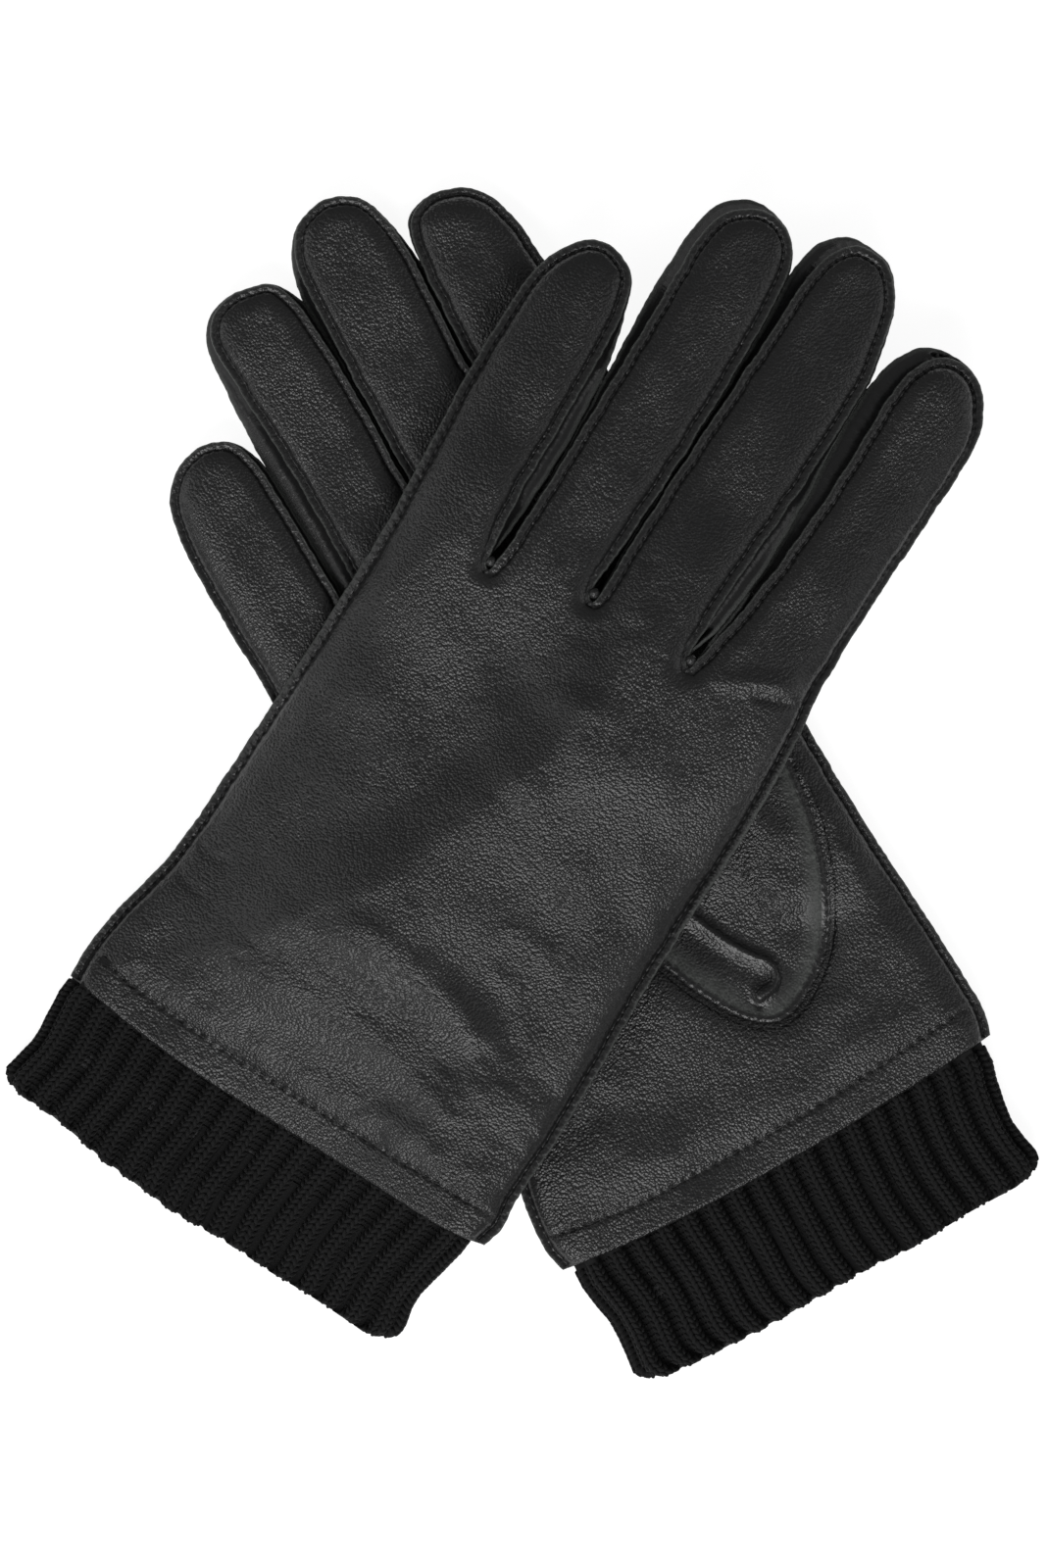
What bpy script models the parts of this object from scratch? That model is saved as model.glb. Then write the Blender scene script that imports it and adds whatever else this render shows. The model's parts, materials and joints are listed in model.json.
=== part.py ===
"""A pair of men's lined leather gloves with knitted cuffs, laid crossed on a flat surface.

The left glove lies back up across the right glove, which lies palm up. Each glove is drawn flat in
its own frame, in millimetres: origin at the middle of the hem, +Y to the fingertips, +X to the
index finger, +Z up from the glove's underside. The left glove then hangs over the right one's sides.
"""

import math

import bmesh
import bpy
from mathutils import Matrix, Vector

MM = 0.001

# Sheet thicknesses and the clearance between pieces
LEATHER = 0.9
FACING = 0.6
LINING = 0.6
FINGER_LINING = 2.6  # the pile lining, which all but fills an empty finger
KNIT = 1.1
GAP = 0.3

THICK = 11.0  # a whole flattened glove
THUMB_THICK = 7.0
LIFT = THICK + THUMB_THICK + 2 * GAP  # the left glove's underside, above the thumbs
SIDE = LEATHER + GAP  # from the outside of a glove to its lining

# The left glove hangs down past the right glove's two sides
HANG_START = 48.0  # distance from the right glove's middle line
HANG_LENGTH = 64.0
HANG_STEPS = 8

TIP_SEGMENTS = 10
WRIST_LINING = 9.3  # where the lining ends and the knit begins
KNIT_INSIDE = 8.8  # how far the knit reaches up inside the hem
HEM_DEPTH = 6.5
HEM_MARGIN = 0.9
THUMB_HOLE_RING = 5.0

FINGERS = ("little", "ring", "middle", "index")

# A finger: x of its two sides at the crotch line and where its round tip begins, the y of its tip,
# and the y where it folds. base_y is the crotch line.
LEFT = {
    "at": (-53.8, -73.0),
    "turn": -32.6,
    "upper": "back",
    "lower": "palm",
    "lift": LIFT,
    "little_side": ((-57.0, -1.2), (-56.0, 10.0), (-51.8, 30.0), (-51.0, 70.0), (-51.0, 118.0)),
    "index_side": ((53.6, 116.0), (53.4, 75.0), (55.0, 30.0), (54.6, -1.0)),
    "hem": ((22.0, -3.4), (-22.0, -4.0)),
    "fingers": {
        "little": {"base": (-51.6, -28.0), "top": (-54.0, -30.6), "tip": 202.3, "fold": 132.0},
        "ring": {"base": (-24.6, -4.4), "top": (-29.6, -4.7), "tip": 228.5, "fold": 138.0},
        "middle": {"base": (-1.6, 20.8), "top": (-4.0, 22.6), "tip": 233.6, "fold": 138.0},
        "index": {"base": (23.8, 51.4), "top": (24.0, 50.6), "tip": 223.4, "fold": 138.0},
    },
    "base_y": 132.0,
    "crotches": ((-26.2, 126.5), (-3.0, 132.5), (22.3, 131.5)),
    "cuff": ((-56.4, -4.6), (-55.2, -15.0), (-57.0, -24.0), (-54.0, -28.0), (-25.0, -31.3),
             (10.0, -32.0), (44.0, -31.2), (49.0, -27.0), (48.0, -18.0), (51.0, -4.4)),
    "stitches": ((-55.0, 6.8), (-35.0, 4.5), (0.0, 4.0), (53.0, 5.2)),
    "thumb": {"root": (26.0, 50.0), "tip": (6.0, 106.0), "swing": 1},
}
RIGHT = {
    "at": (57.2, -82.2),
    "turn": 29.1,
    "upper": "palm",
    "lower": "back",
    "lift": 0.0,
    "little_side": ((-56.4, -0.6), (-56.0, 14.0), (-52.6, 34.0), (-51.0, 75.0), (-50.4, 118.0)),
    "index_side": ((51.6, 116.0), (51.8, 80.0), (54.2, 30.0), (56.4, 0.0)),
    "hem": ((22.0, -3.0), (-22.0, -3.4)),
    "fingers": {
        "little": {"base": (-50.2, -25.6), "top": (-50.8, -26.4), "tip": 201.0, "fold": 160.0},
        "ring": {"base": (-22.6, -1.4), "top": (-25.8, -1.0), "tip": 227.6, "fold": 173.0},
        "middle": {"base": (1.4, 24.6), "top": (-0.2, 26.2), "tip": 236.2, "fold": 189.0},
        "index": {"base": (27.2, 51.0), "top": (27.0, 51.2), "tip": 225.8, "fold": 204.0},
    },
    "base_y": 132.0,
    "crotches": ((-24.2, 126.5), (0.0, 132.5), (25.9, 131.5)),
    "cuff": ((-53.0, -4.4), (-51.2, -18.0), (-52.2, -26.0), (-49.0, -31.6), (-20.0, -33.0),
             (15.0, -33.2), (46.0, -32.6), (49.6, -29.0), (49.2, -16.0), (52.0, -4.2)),
    "stitches": ((-54.4, 8.0), (-34.0, 4.4), (0.0, 4.0), (54.0, 7.2)),
    "thumb": {"root": (24.0, 48.0), "tip": (30.0, 118.0), "swing": -1},
}
THUMB_WIDTHS = (27.0, 22.0)  # at the root and near the tip
THUMB_HOLE = {"middle": (22.0, 54.0), "half": (18.0, 27.0), "turn": -18.0}

LEATHER_COLOUR = (0.028, 0.029, 0.030, 1.0)
KNIT_COLOUR = (0.012, 0.012, 0.013, 1.0)
LINING_COLOUR = (0.035, 0.035, 0.037, 1.0)
THREAD_COLOUR = (0.010, 0.010, 0.010, 1.0)


# --- Scene and materials ---------------------------------------------------------------------------


def clear_scene():
    for obj in list(bpy.data.objects):
        bpy.data.objects.remove(obj, do_unlink=True)


def make_material(name, colour, roughness):
    material = bpy.data.materials.new(name)
    material.use_nodes = True
    shader = material.node_tree.nodes["Principled BSDF"]
    shader.inputs["Base Color"].default_value = colour
    shader.inputs["Roughness"].default_value = roughness
    shader.inputs["Metallic"].default_value = 0.0
    return material


def make_empty(name, location, turn, parent, collection):
    empty = bpy.data.objects.new(name, None)
    collection.objects.link(empty)
    empty.parent = parent
    empty.location = location
    empty.rotation_euler = (0.0, 0.0, turn)
    return empty


# --- Outlines, in millimetres ----------------------------------------------------------------------


def smooth(points, steps=4):
    """A Catmull-Rom curve through the points."""
    ends = [2 * Vector(points[0]) - Vector(points[1])]
    ends += [Vector(p) for p in points]
    ends += [2 * Vector(points[-1]) - Vector(points[-2])]
    curve = []
    for a, b, c, d in zip(ends, ends[1:], ends[2:], ends[3:]):
        for step in range(steps):
            t = step / steps
            curve.append(0.5 * (2 * b + (c - a) * t + (2 * a - 5 * b + 4 * c - d) * t**2
                                + (3 * b - a - 3 * c + d) * t**3))
    return [tuple(p) for p in curve] + [tuple(points[-1])]


def inset(outline, distance):
    """The outline moved inwards, for points that run clockwise."""
    moved = []
    count = len(outline)
    for i in range(count):
        before, here, after = (Vector(outline[(i + k) % count]) for k in (-1, 0, 1))
        first = (here - before).normalized()
        second = (after - here).normalized()
        inward = Vector((first.y + second.y, -first.x - second.x)).normalized()
        reach = distance / max(0.35, inward.dot(Vector((first.y, -first.x))))
        moved.append(tuple(here + inward * reach))
    return moved


def ellipse(middle, half, turn, count=28):
    points = []
    for i in range(count):
        angle = -2 * math.pi * i / count
        x, y = half[0] * math.cos(angle), half[1] * math.sin(angle)
        c, s = math.cos(math.radians(turn)), math.sin(math.radians(turn))
        points.append((middle[0] + x * c - y * s, middle[1] + x * s + y * c))
    return points


def shoulder(finger):
    """The y where the finger's round tip begins."""
    return finger["tip"] - 0.5 * (finger["top"][1] - finger["top"][0])


def sides_at(glove, finger, y):
    share = (y - glove["base_y"]) / (shoulder(finger) - glove["base_y"])
    return [low + (high - low) * share for low, high in zip(finger["base"], finger["top"])]


def finger_outline(glove, finger, start, margin=0.0):
    """Clockwise from the lower left, with a round tip."""
    left, right = sides_at(glove, finger, start)
    top_left, top_right = finger["top"]
    middle, half = 0.5 * (top_left + top_right), 0.5 * (top_right - top_left) - margin
    points = [(left + margin, start)]
    for i in range(TIP_SEGMENTS + 1):
        angle = math.pi * (1 - i / TIP_SEGMENTS)
        points.append((middle + half * math.cos(angle), shoulder(finger) + half * math.sin(angle)))
    points.append((right - margin, start))
    return points


def hand_outline(glove):
    """The hand with the stretch of each finger below its fold, clockwise from the hem's left end."""
    points = smooth(glove["little_side"])
    for i, name in enumerate(FINGERS):
        finger = glove["fingers"][name]
        if i > 0:
            points.append(glove["crotches"][i - 1])
        end = finger["fold"] - GAP
        left, right = sides_at(glove, finger, end)
        points += [(left, end), (right, end)]
    points += smooth(glove["index_side"])
    points += smooth((glove["index_side"][-1], *glove["hem"], glove["little_side"][0]))[1:-1]
    return points


def thumb_outline(thumb, margin=0.0, back=0.0):
    """A straight thumb from its root to its round tip; back lengthens it behind the root."""
    root, tip = Vector(thumb["root"]), Vector(thumb["tip"])
    along = (tip - root).normalized()
    across = Vector((along.y, -along.x))
    wide, narrow = (0.5 * width - margin for width in THUMB_WIDTHS)
    centre = tip - along * (narrow + margin)
    points = []
    for i in range(TIP_SEGMENTS + 1):
        angle = math.pi * (1 - i / TIP_SEGMENTS)
        points.append(tuple(centre + across * narrow * math.cos(angle) + along * narrow * math.sin(angle)))
    if back > 0.0:
        points.append(tuple(root - along * back + across * wide))
        points.append(tuple(root - along * back - across * wide))
        return points
    for i in range(TIP_SEGMENTS + 1):
        angle = -math.pi * i / TIP_SEGMENTS
        points.append(tuple(root + across * wide * math.cos(angle) + along * 0.6 * wide * math.sin(angle)))
    return points


# --- Solids ----------------------------------------------------------------------------------------


def plate(name, outline, low, high, hole=None):
    """A flat sheet from low to high, still in millimetres, as a mesh object."""
    curve = bpy.data.curves.new(name, "CURVE")
    curve.dimensions = "2D"
    curve.fill_mode = "BOTH"
    curve.extrude = 0.5 * (high - low) * MM
    for loop in (outline, hole):
        if loop is None:
            continue
        spline = curve.splines.new("POLY")
        spline.points.add(len(loop) - 1)
        for point, (x, y) in zip(spline.points, loop):
            point.co = (x * MM, y * MM, 0.0, 1.0)
        spline.use_cyclic_u = True
    drawn = bpy.data.objects.new(name, curve)
    bpy.context.scene.collection.objects.link(drawn)
    graph = bpy.context.evaluated_depsgraph_get()
    mesh = bpy.data.meshes.new_from_object(drawn.evaluated_get(graph))
    bpy.data.objects.remove(drawn, do_unlink=True)
    bpy.data.curves.remove(curve)
    mesh.name = name
    mesh.transform(Matrix.Translation((0.0, 0.0, 0.5 * (low + high) * MM)))
    form = bmesh.new()
    form.from_mesh(mesh)
    bmesh.ops.remove_doubles(form, verts=form.verts, dist=1e-6)
    bmesh.ops.recalc_face_normals(form, faces=form.faces)
    form.to_mesh(mesh)
    form.free()
    mesh.materials.clear()
    obj = bpy.data.objects.new(name, mesh)
    bpy.context.scene.collection.objects.link(obj)
    return obj


def block(x_range, y_range, low, high):
    (x0, x1), (y0, y1) = x_range, y_range
    return plate("cutter", ((x0, y0), (x0, y1), (x1, y1), (x1, y0)), low, high)


def subtract(obj, cutters):
    for cutter in cutters:
        modifier = obj.modifiers.new("cut", "BOOLEAN")
        modifier.operation = "DIFFERENCE"
        modifier.object = cutter
    graph = bpy.context.evaluated_depsgraph_get()
    mesh = bpy.data.meshes.new_from_object(obj.evaluated_get(graph))
    obj.modifiers.clear()
    obj.data = mesh
    for cutter in cutters:
        bpy.data.objects.remove(cutter, do_unlink=True)


def hang_drop(across):
    """How far the left glove has sunk, at a distance from the right glove's middle line."""
    share = min(1.0, max(0.0, (abs(across) - HANG_START) / HANG_LENGTH))
    return LIFT * share * share * (3 - 2 * share)


def hang(obj, to_right):
    """Bends a piece of the left glove down over the right glove's sides, in equal strips.

    The strips are the same for every piece, so that neighbours bend alike and never meet.
    """
    step = HANG_LENGTH / HANG_STEPS
    knots = [HANG_START + step * i for i in range(HANG_STEPS + 1)]
    form = bmesh.new()
    form.from_mesh(obj.data)
    bmesh.ops.triangulate(form, faces=form.faces)
    normal = (to_right.to_3x3().transposed() @ Vector((1.0, 0.0, 0.0))).normalized()
    start = to_right.inverted().translation
    for knot in [-k for k in knots] + knots:
        bmesh.ops.bisect_plane(
            form,
            geom=form.verts[:] + form.edges[:] + form.faces[:],
            plane_co=start + normal * knot * MM,
            plane_no=normal,
            dist=1e-6,
        )
    for vert in form.verts:
        across = abs((to_right @ vert.co).x / MM)
        share = min(HANG_STEPS, max(0.0, (across - HANG_START) / step))
        low = min(HANG_STEPS - 1, int(share))
        drops = [hang_drop(knots[low]), hang_drop(knots[low + 1])]
        vert.co.z -= (drops[0] + (drops[1] - drops[0]) * (share - low)) * MM
    form.to_mesh(obj.data)
    form.free()


# --- Pieces of one glove ---------------------------------------------------------------------------


def finger_mouths(glove, margin, low, high):
    """Cutters that open the hand towards each finger."""
    cutters = []
    for name in FINGERS:
        finger = glove["fingers"][name]
        left, right = sides_at(glove, finger, finger["fold"] - GAP)
        cutters.append(block((left + margin, right - margin),
                             (finger["fold"] - 6.0, finger["fold"] + 2.0), low, high))
    return cutters


def thumb_hole(grow):
    half = [size + grow for size in THUMB_HOLE["half"]]
    return ellipse(THUMB_HOLE["middle"], half, THUMB_HOLE["turn"])


def hand_pieces(glove, side):
    """(name, object, material) of every piece that stays with the hand."""
    outline = hand_outline(glove)
    top, wall = THICK - LEATHER, THICK - SIDE
    hole = thumb_hole(0.0)
    thumb_on_top = glove["upper"] == "palm"

    upper = plate("upper", outline, top, THICK, hole if thumb_on_top else None)
    lower = plate("lower", outline, 0.0, wall)
    cutters = [plate("cutter", inset(outline, LEATHER), LEATHER, THICK)]
    cutters += finger_mouths(glove, LEATHER, LEATHER, THICK)
    cutters.append(block((glove["little_side"][0][0] + 1.6, glove["index_side"][-1][0] - 1.6),
                         (-12.0, 6.0), LEATHER, THICK))
    if not thumb_on_top:
        cutters.append(plate("cutter", hole, -2.0, 3.0))
    subtract(lower, cutters)

    lining = plate("lining", inset(outline, SIDE), SIDE, THICK - SIDE)
    inner = SIDE + LINING
    cutters = [plate("cutter", inset(outline, inner), inner, THICK - inner)]
    cutters += finger_mouths(glove, inner, inner, THICK - inner)
    cutters.append(block((-80.0, 80.0), (-20.0, WRIST_LINING), -1.0, THICK + 1.0))
    cutters.append(block((glove["little_side"][1][0] + 4.0, glove["index_side"][-1][0] - 4.0),
                         (WRIST_LINING - 5.0, WRIST_LINING + 5.0), inner, THICK - inner))
    low, high = (THICK - inner - 1.0, THICK) if thumb_on_top else (0.0, inner + 1.0)
    cutters.append(plate("cutter", thumb_hole(-THUMB_HOLE_RING), low, high))
    subtract(lining, cutters)

    left = glove["little_side"][0][0] + SIDE + HEM_MARGIN
    right = glove["index_side"][-1][0] - SIDE - HEM_MARGIN
    hem_curve = smooth(((right, -1.6), *glove["hem"], (left, -1.6)))
    facing = plate("facing", [(left, HEM_DEPTH), (right, HEM_DEPTH)] + hem_curve, SIDE, THICK - SIDE)
    fold = SIDE + FACING
    subtract(facing, [block((left + FACING, right - FACING), (-20.0, 20.0), fold, THICK - fold)])

    low = fold + GAP
    left, right = left + FACING + GAP, right - FACING - GAP
    neck = [(left, -2.2), (left, KNIT_INSIDE), (right, KNIT_INSIDE), (right, -2.2)]
    ring = list(reversed(smooth(glove["cuff"])))
    cuff = plate("cuff", neck + ring, low, THICK - low)
    ring = [(x * 0.965 - 0.1, y) for x, y in ring]
    ring = [(x, y if y > -26.0 else y - 12.0) for x, y in ring]
    neck = [(left + KNIT, -2.2), (left + KNIT, 20.0), (right - KNIT, 20.0), (right - KNIT, -2.2)]
    subtract(cuff, [plate("cutter", neck + ring, low + KNIT, THICK - low - KNIT)])

    line = smooth(glove["stitches"])
    strip = [(x, y + 0.25) for x, y in line] + [(x, y - 0.25) for x, y in reversed(line)]
    thread = plate("thread", strip, THICK + GAP, THICK + GAP + 0.4)

    low, high = (top, THICK) if thumb_on_top else (0.0, LEATHER)
    gusset = plate("gusset", thumb_hole(-GAP), low, high, thumb_hole(-THUMB_HOLE_RING))
    return [
        (f"{side}_{glove['upper']}_panel", upper, "leather"),
        (f"{side}_{glove['lower']}_panel", lower, "leather"),
        (f"{side}_hand_lining", lining, "lining"),
        (f"{side}_hem_facing", facing, "leather"),
        (f"{side}_knit_cuff", cuff, "knit"),
        (f"{side}_hem_thread", thread, "thread"),
        (f"{side}_thumb_gusset", gusset, "leather"),
    ]


def thumb_pieces(glove, side):
    """The thumb lies between the two gloves, on the palm side of its own."""
    thumb = glove["thumb"]
    low = THICK + GAP if glove["upper"] == "palm" else -GAP - THUMB_THICK
    high = low + THUMB_THICK
    # The side that faces the palm is open over the gusset.
    mouth = ellipse(thumb["root"], (8.0, 10.0), 0.0)
    if glove["upper"] == "palm":
        open_low, open_high = low - 1.0, low + 3.0
    else:
        open_low, open_high = high - 3.0, high + 1.0
    leather = plate("thumb", thumb_outline(thumb), low, high)
    cavity = plate("cutter", thumb_outline(thumb, LEATHER), low + LEATHER, high - LEATHER)
    subtract(leather, [cavity, plate("cutter", mouth, open_low, open_high)])
    lining = plate("thumb_lining", thumb_outline(thumb, SIDE), low + SIDE, high - SIDE)
    inner = SIDE + LINING
    cavity = plate("cutter", thumb_outline(thumb, inner), low + inner, high - inner)
    subtract(lining, [cavity, plate("cutter", mouth, open_low, open_high)])
    return [(f"{side}_thumb", leather, "leather"), (f"{side}_thumb_lining", lining, "lining")]


def finger_pieces(glove, side, name):
    """Back and palm of the finger, its lining, and the side walls that face its neighbours."""
    finger = glove["fingers"][name]
    start, arm_end = finger["fold"], shoulder(finger) + 2.0
    outline = finger_outline(glove, finger, start)
    wall = THICK - SIDE
    upper = plate("upper", outline, THICK - LEATHER, THICK)
    lower = plate("lower", outline, 0.0, wall)
    cutters = [plate("cutter", finger_outline(glove, finger, start - 3.0, LEATHER), LEATHER, THICK)]
    middle = 0.5 * (finger["top"][0] + finger["top"][1])
    reach = {"little": (middle, 90.0), "index": (-90.0, middle)}.get(name, (-90.0, 90.0))
    cutters.append(block(reach, (start - 2.0, arm_end), LEATHER, THICK))
    subtract(lower, cutters)

    lining = plate("lining", finger_outline(glove, finger, start, SIDE), SIDE, wall)
    inner = SIDE + FINGER_LINING
    cavity = plate("cutter", finger_outline(glove, finger, start - 3.0, inner), inner, THICK - inner)
    subtract(lining, [cavity])
    pieces = [
        (f"{side}_{name}_{glove['upper']}", upper, "leather"),
        (f"{side}_{name}_{glove['lower']}", lower, "leather"),
        (f"{side}_{name}_lining", lining, "lining"),
    ]

    place = FINGERS.index(name)
    facing = []
    if place > 0:
        facing.append((0, 1, FINGERS[place - 1]))
    if place < len(FINGERS) - 1:
        facing.append((1, -1, FINGERS[place + 1]))
    for edge, inward, neighbour in facing:
        low_x = sides_at(glove, finger, start)[edge]
        high_x = finger["top"][edge]
        end = shoulder(finger)
        strip = [(low_x, start), (high_x, end), (high_x + inward * LEATHER, end),
                 (low_x + inward * LEATHER, start)]
        if inward < 0:
            strip.reverse()
        arm = plate("arm", strip, LEATHER + GAP, wall)
        pieces.append((f"{side}_{name}_fourchette_to_{neighbour}", arm, "leather"))
    return pieces


# --- Assembly --------------------------------------------------------------------------------------


def build_glove(glove, side, parent, collection, materials, to_right):
    """Places the pieces under one empty for the glove and one on each joint's axis."""
    base = make_empty(f"{side}_glove", (glove["at"][0] * MM, glove["at"][1] * MM, glove["lift"] * MM),
                      math.radians(glove["turn"]), parent, collection)
    groups = [((0.0, 0.0, 0.0), base, hand_pieces(glove, side))]
    for name in FINGERS:
        finger = glove["fingers"][name]
        left, right = sides_at(glove, finger, finger["fold"])
        place = (0.5 * (left + right) * MM, (finger["fold"] - 0.5 * GAP) * MM, THICK * MM)
        hinge = make_empty(f"{side}_{name}_hinge", place, 0.0, base, collection)
        groups.append((place, hinge, finger_pieces(glove, side, name)))
    root = glove["thumb"]["root"]
    place = (root[0] * MM, root[1] * MM, 0.0)
    pivot = make_empty(f"{side}_thumb_pivot", place, 0.0, base, collection)
    groups.append((place, pivot, thumb_pieces(glove, side)))
    for place, empty, pieces in groups:
        for name, obj, kind in pieces:
            obj.name = name
            obj.data.name = name
            if glove["lift"] > 0.0:
                hang(obj, to_right)
            obj.data.transform(Matrix.Translation([-value for value in place]))
            obj.parent = empty
            obj.data.materials.clear()
            obj.data.materials.append(materials[kind])
            bpy.context.scene.collection.objects.unlink(obj)
            collection.objects.link(obj)


def frame_of(glove):
    """The glove's own frame in the pair's, in metres."""
    turn = Matrix.Rotation(math.radians(glove["turn"]), 4, "Z")
    return Matrix.Translation((glove["at"][0] * MM, glove["at"][1] * MM, 0.0)) @ turn


def centre_on_floor(pair, collection):
    """Moves the pair so that the origin is under the middle of its box."""
    bpy.context.view_layer.update()
    corners = [obj.matrix_world @ vert.co for obj in collection.objects if obj.type == "MESH"
               for vert in obj.data.vertices]
    for axis in (0, 1):
        values = [corner[axis] for corner in corners]
        pair.location[axis] -= 0.5 * (min(values) + max(values))


def main():
    clear_scene()
    collection = bpy.data.collections.new("leather_gloves")
    bpy.context.scene.collection.children.link(collection)
    materials = {
        "leather": make_material("black_leather", LEATHER_COLOUR, 0.42),
        "knit": make_material("black_rib_knit", KNIT_COLOUR, 0.9),
        "lining": make_material("grey_lining_knit", LINING_COLOUR, 0.95),
        "thread": make_material("black_thread", THREAD_COLOUR, 0.7),
    }
    pair = make_empty("glove_pair", (0.0, 0.0, 0.0), 0.0, None, collection)
    to_right = frame_of(RIGHT).inverted() @ frame_of(LEFT)
    build_glove(RIGHT, "right", pair, collection, materials, to_right)
    build_glove(LEFT, "left", pair, collection, materials, to_right)
    centre_on_floor(pair, collection)


main()
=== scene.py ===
"""The looks of a crossed pair of lined leather gloves with knitted cuffs.

Each glove is drawn in its own plane, in millimetres: origin at the middle of the hem, +X to the index
finger, +Y to the fingertips, z above the floor. The two planes are placed by the frame's joints. The
leather is a planform filled with triangles, and its height is worked out at every point: the drape
over what lies below, the seams, and the folds.
"""

import json
import math

import bpy
import numpy as np
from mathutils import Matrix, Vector
from mathutils.geometry import delaunay_2d_cdt


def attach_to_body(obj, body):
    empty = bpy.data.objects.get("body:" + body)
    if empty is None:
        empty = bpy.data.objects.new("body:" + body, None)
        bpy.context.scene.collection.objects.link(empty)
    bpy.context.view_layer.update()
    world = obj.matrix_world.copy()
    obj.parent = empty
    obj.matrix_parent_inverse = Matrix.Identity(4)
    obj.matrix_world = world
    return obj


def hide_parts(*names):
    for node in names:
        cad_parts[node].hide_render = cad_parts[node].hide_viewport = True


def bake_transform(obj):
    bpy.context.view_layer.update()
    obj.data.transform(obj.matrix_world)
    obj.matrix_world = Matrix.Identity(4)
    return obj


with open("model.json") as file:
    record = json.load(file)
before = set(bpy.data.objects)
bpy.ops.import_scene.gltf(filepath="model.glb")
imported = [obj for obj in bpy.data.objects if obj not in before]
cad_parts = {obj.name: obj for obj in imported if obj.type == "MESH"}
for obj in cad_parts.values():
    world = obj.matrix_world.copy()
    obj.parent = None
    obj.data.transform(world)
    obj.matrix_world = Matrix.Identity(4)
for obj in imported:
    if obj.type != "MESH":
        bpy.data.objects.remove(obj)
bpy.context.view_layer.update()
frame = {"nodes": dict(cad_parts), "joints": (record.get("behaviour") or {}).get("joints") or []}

JOINTS = {joint["name"]: joint for joint in frame["joints"]}
MM = 0.001
FINGERS = ("little", "ring", "middle", "index")

# Seams and sheets, in millimetres
SEAM = 1.9  # from the raw edge to the stitches
LEATHER = 0.8
WALL = 2.4  # how far the side walls between the fingers rise over the middle
LOW_WALL = 0.4  # and how far they reach under it
LOW_GAP = 0.22  # between the lower edges of neighbouring fingers
OUTER_ROUND = 8.0  # how far in the leather rounds over at an outer seam
INNER_ROUND = 4.5
STITCH = 2.2
HEM_STITCH = 2.7
EDGE_STEP = 0.55  # spacing of points along an outline
FILL_STEP = 1.0  # and inside the upper sheet
COARSE_STEP = 2.6  # and inside the lower one
RINGS = (0.3, 0.8, 1.4, 1.65, 1.9, 2.15, 2.5, 3.1, 4.0, 5.2)  # lines of points inside an edge
HEM_RINGS = (0.15, 0.4, 0.8, 1.3)
RIBS = 36  # round a cuff
ROW = 1.45  # of knitting

# Heights, in millimetres
CUFF_ROUND = 3.2
CUFF_HALF = 3.6
FLOOR_GAP = 0.2
PALM_HEIGHT = 9.2  # the right glove's thickness
LEFT_HEIGHT = 9.2
THUMB_HEIGHT = 6.0
DRAPE = PALM_HEIGHT + 0.6 * THUMB_HEIGHT  # how high the left glove lies where it crosses the right one

# Where the left glove leaves the right one, from that one's middle line, and over what width it falls
LITTLE_EDGE, LITTLE_FALL = 46.0, 62.0
INDEX_EDGE, INDEX_FALL = 44.0, 106.0

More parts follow.
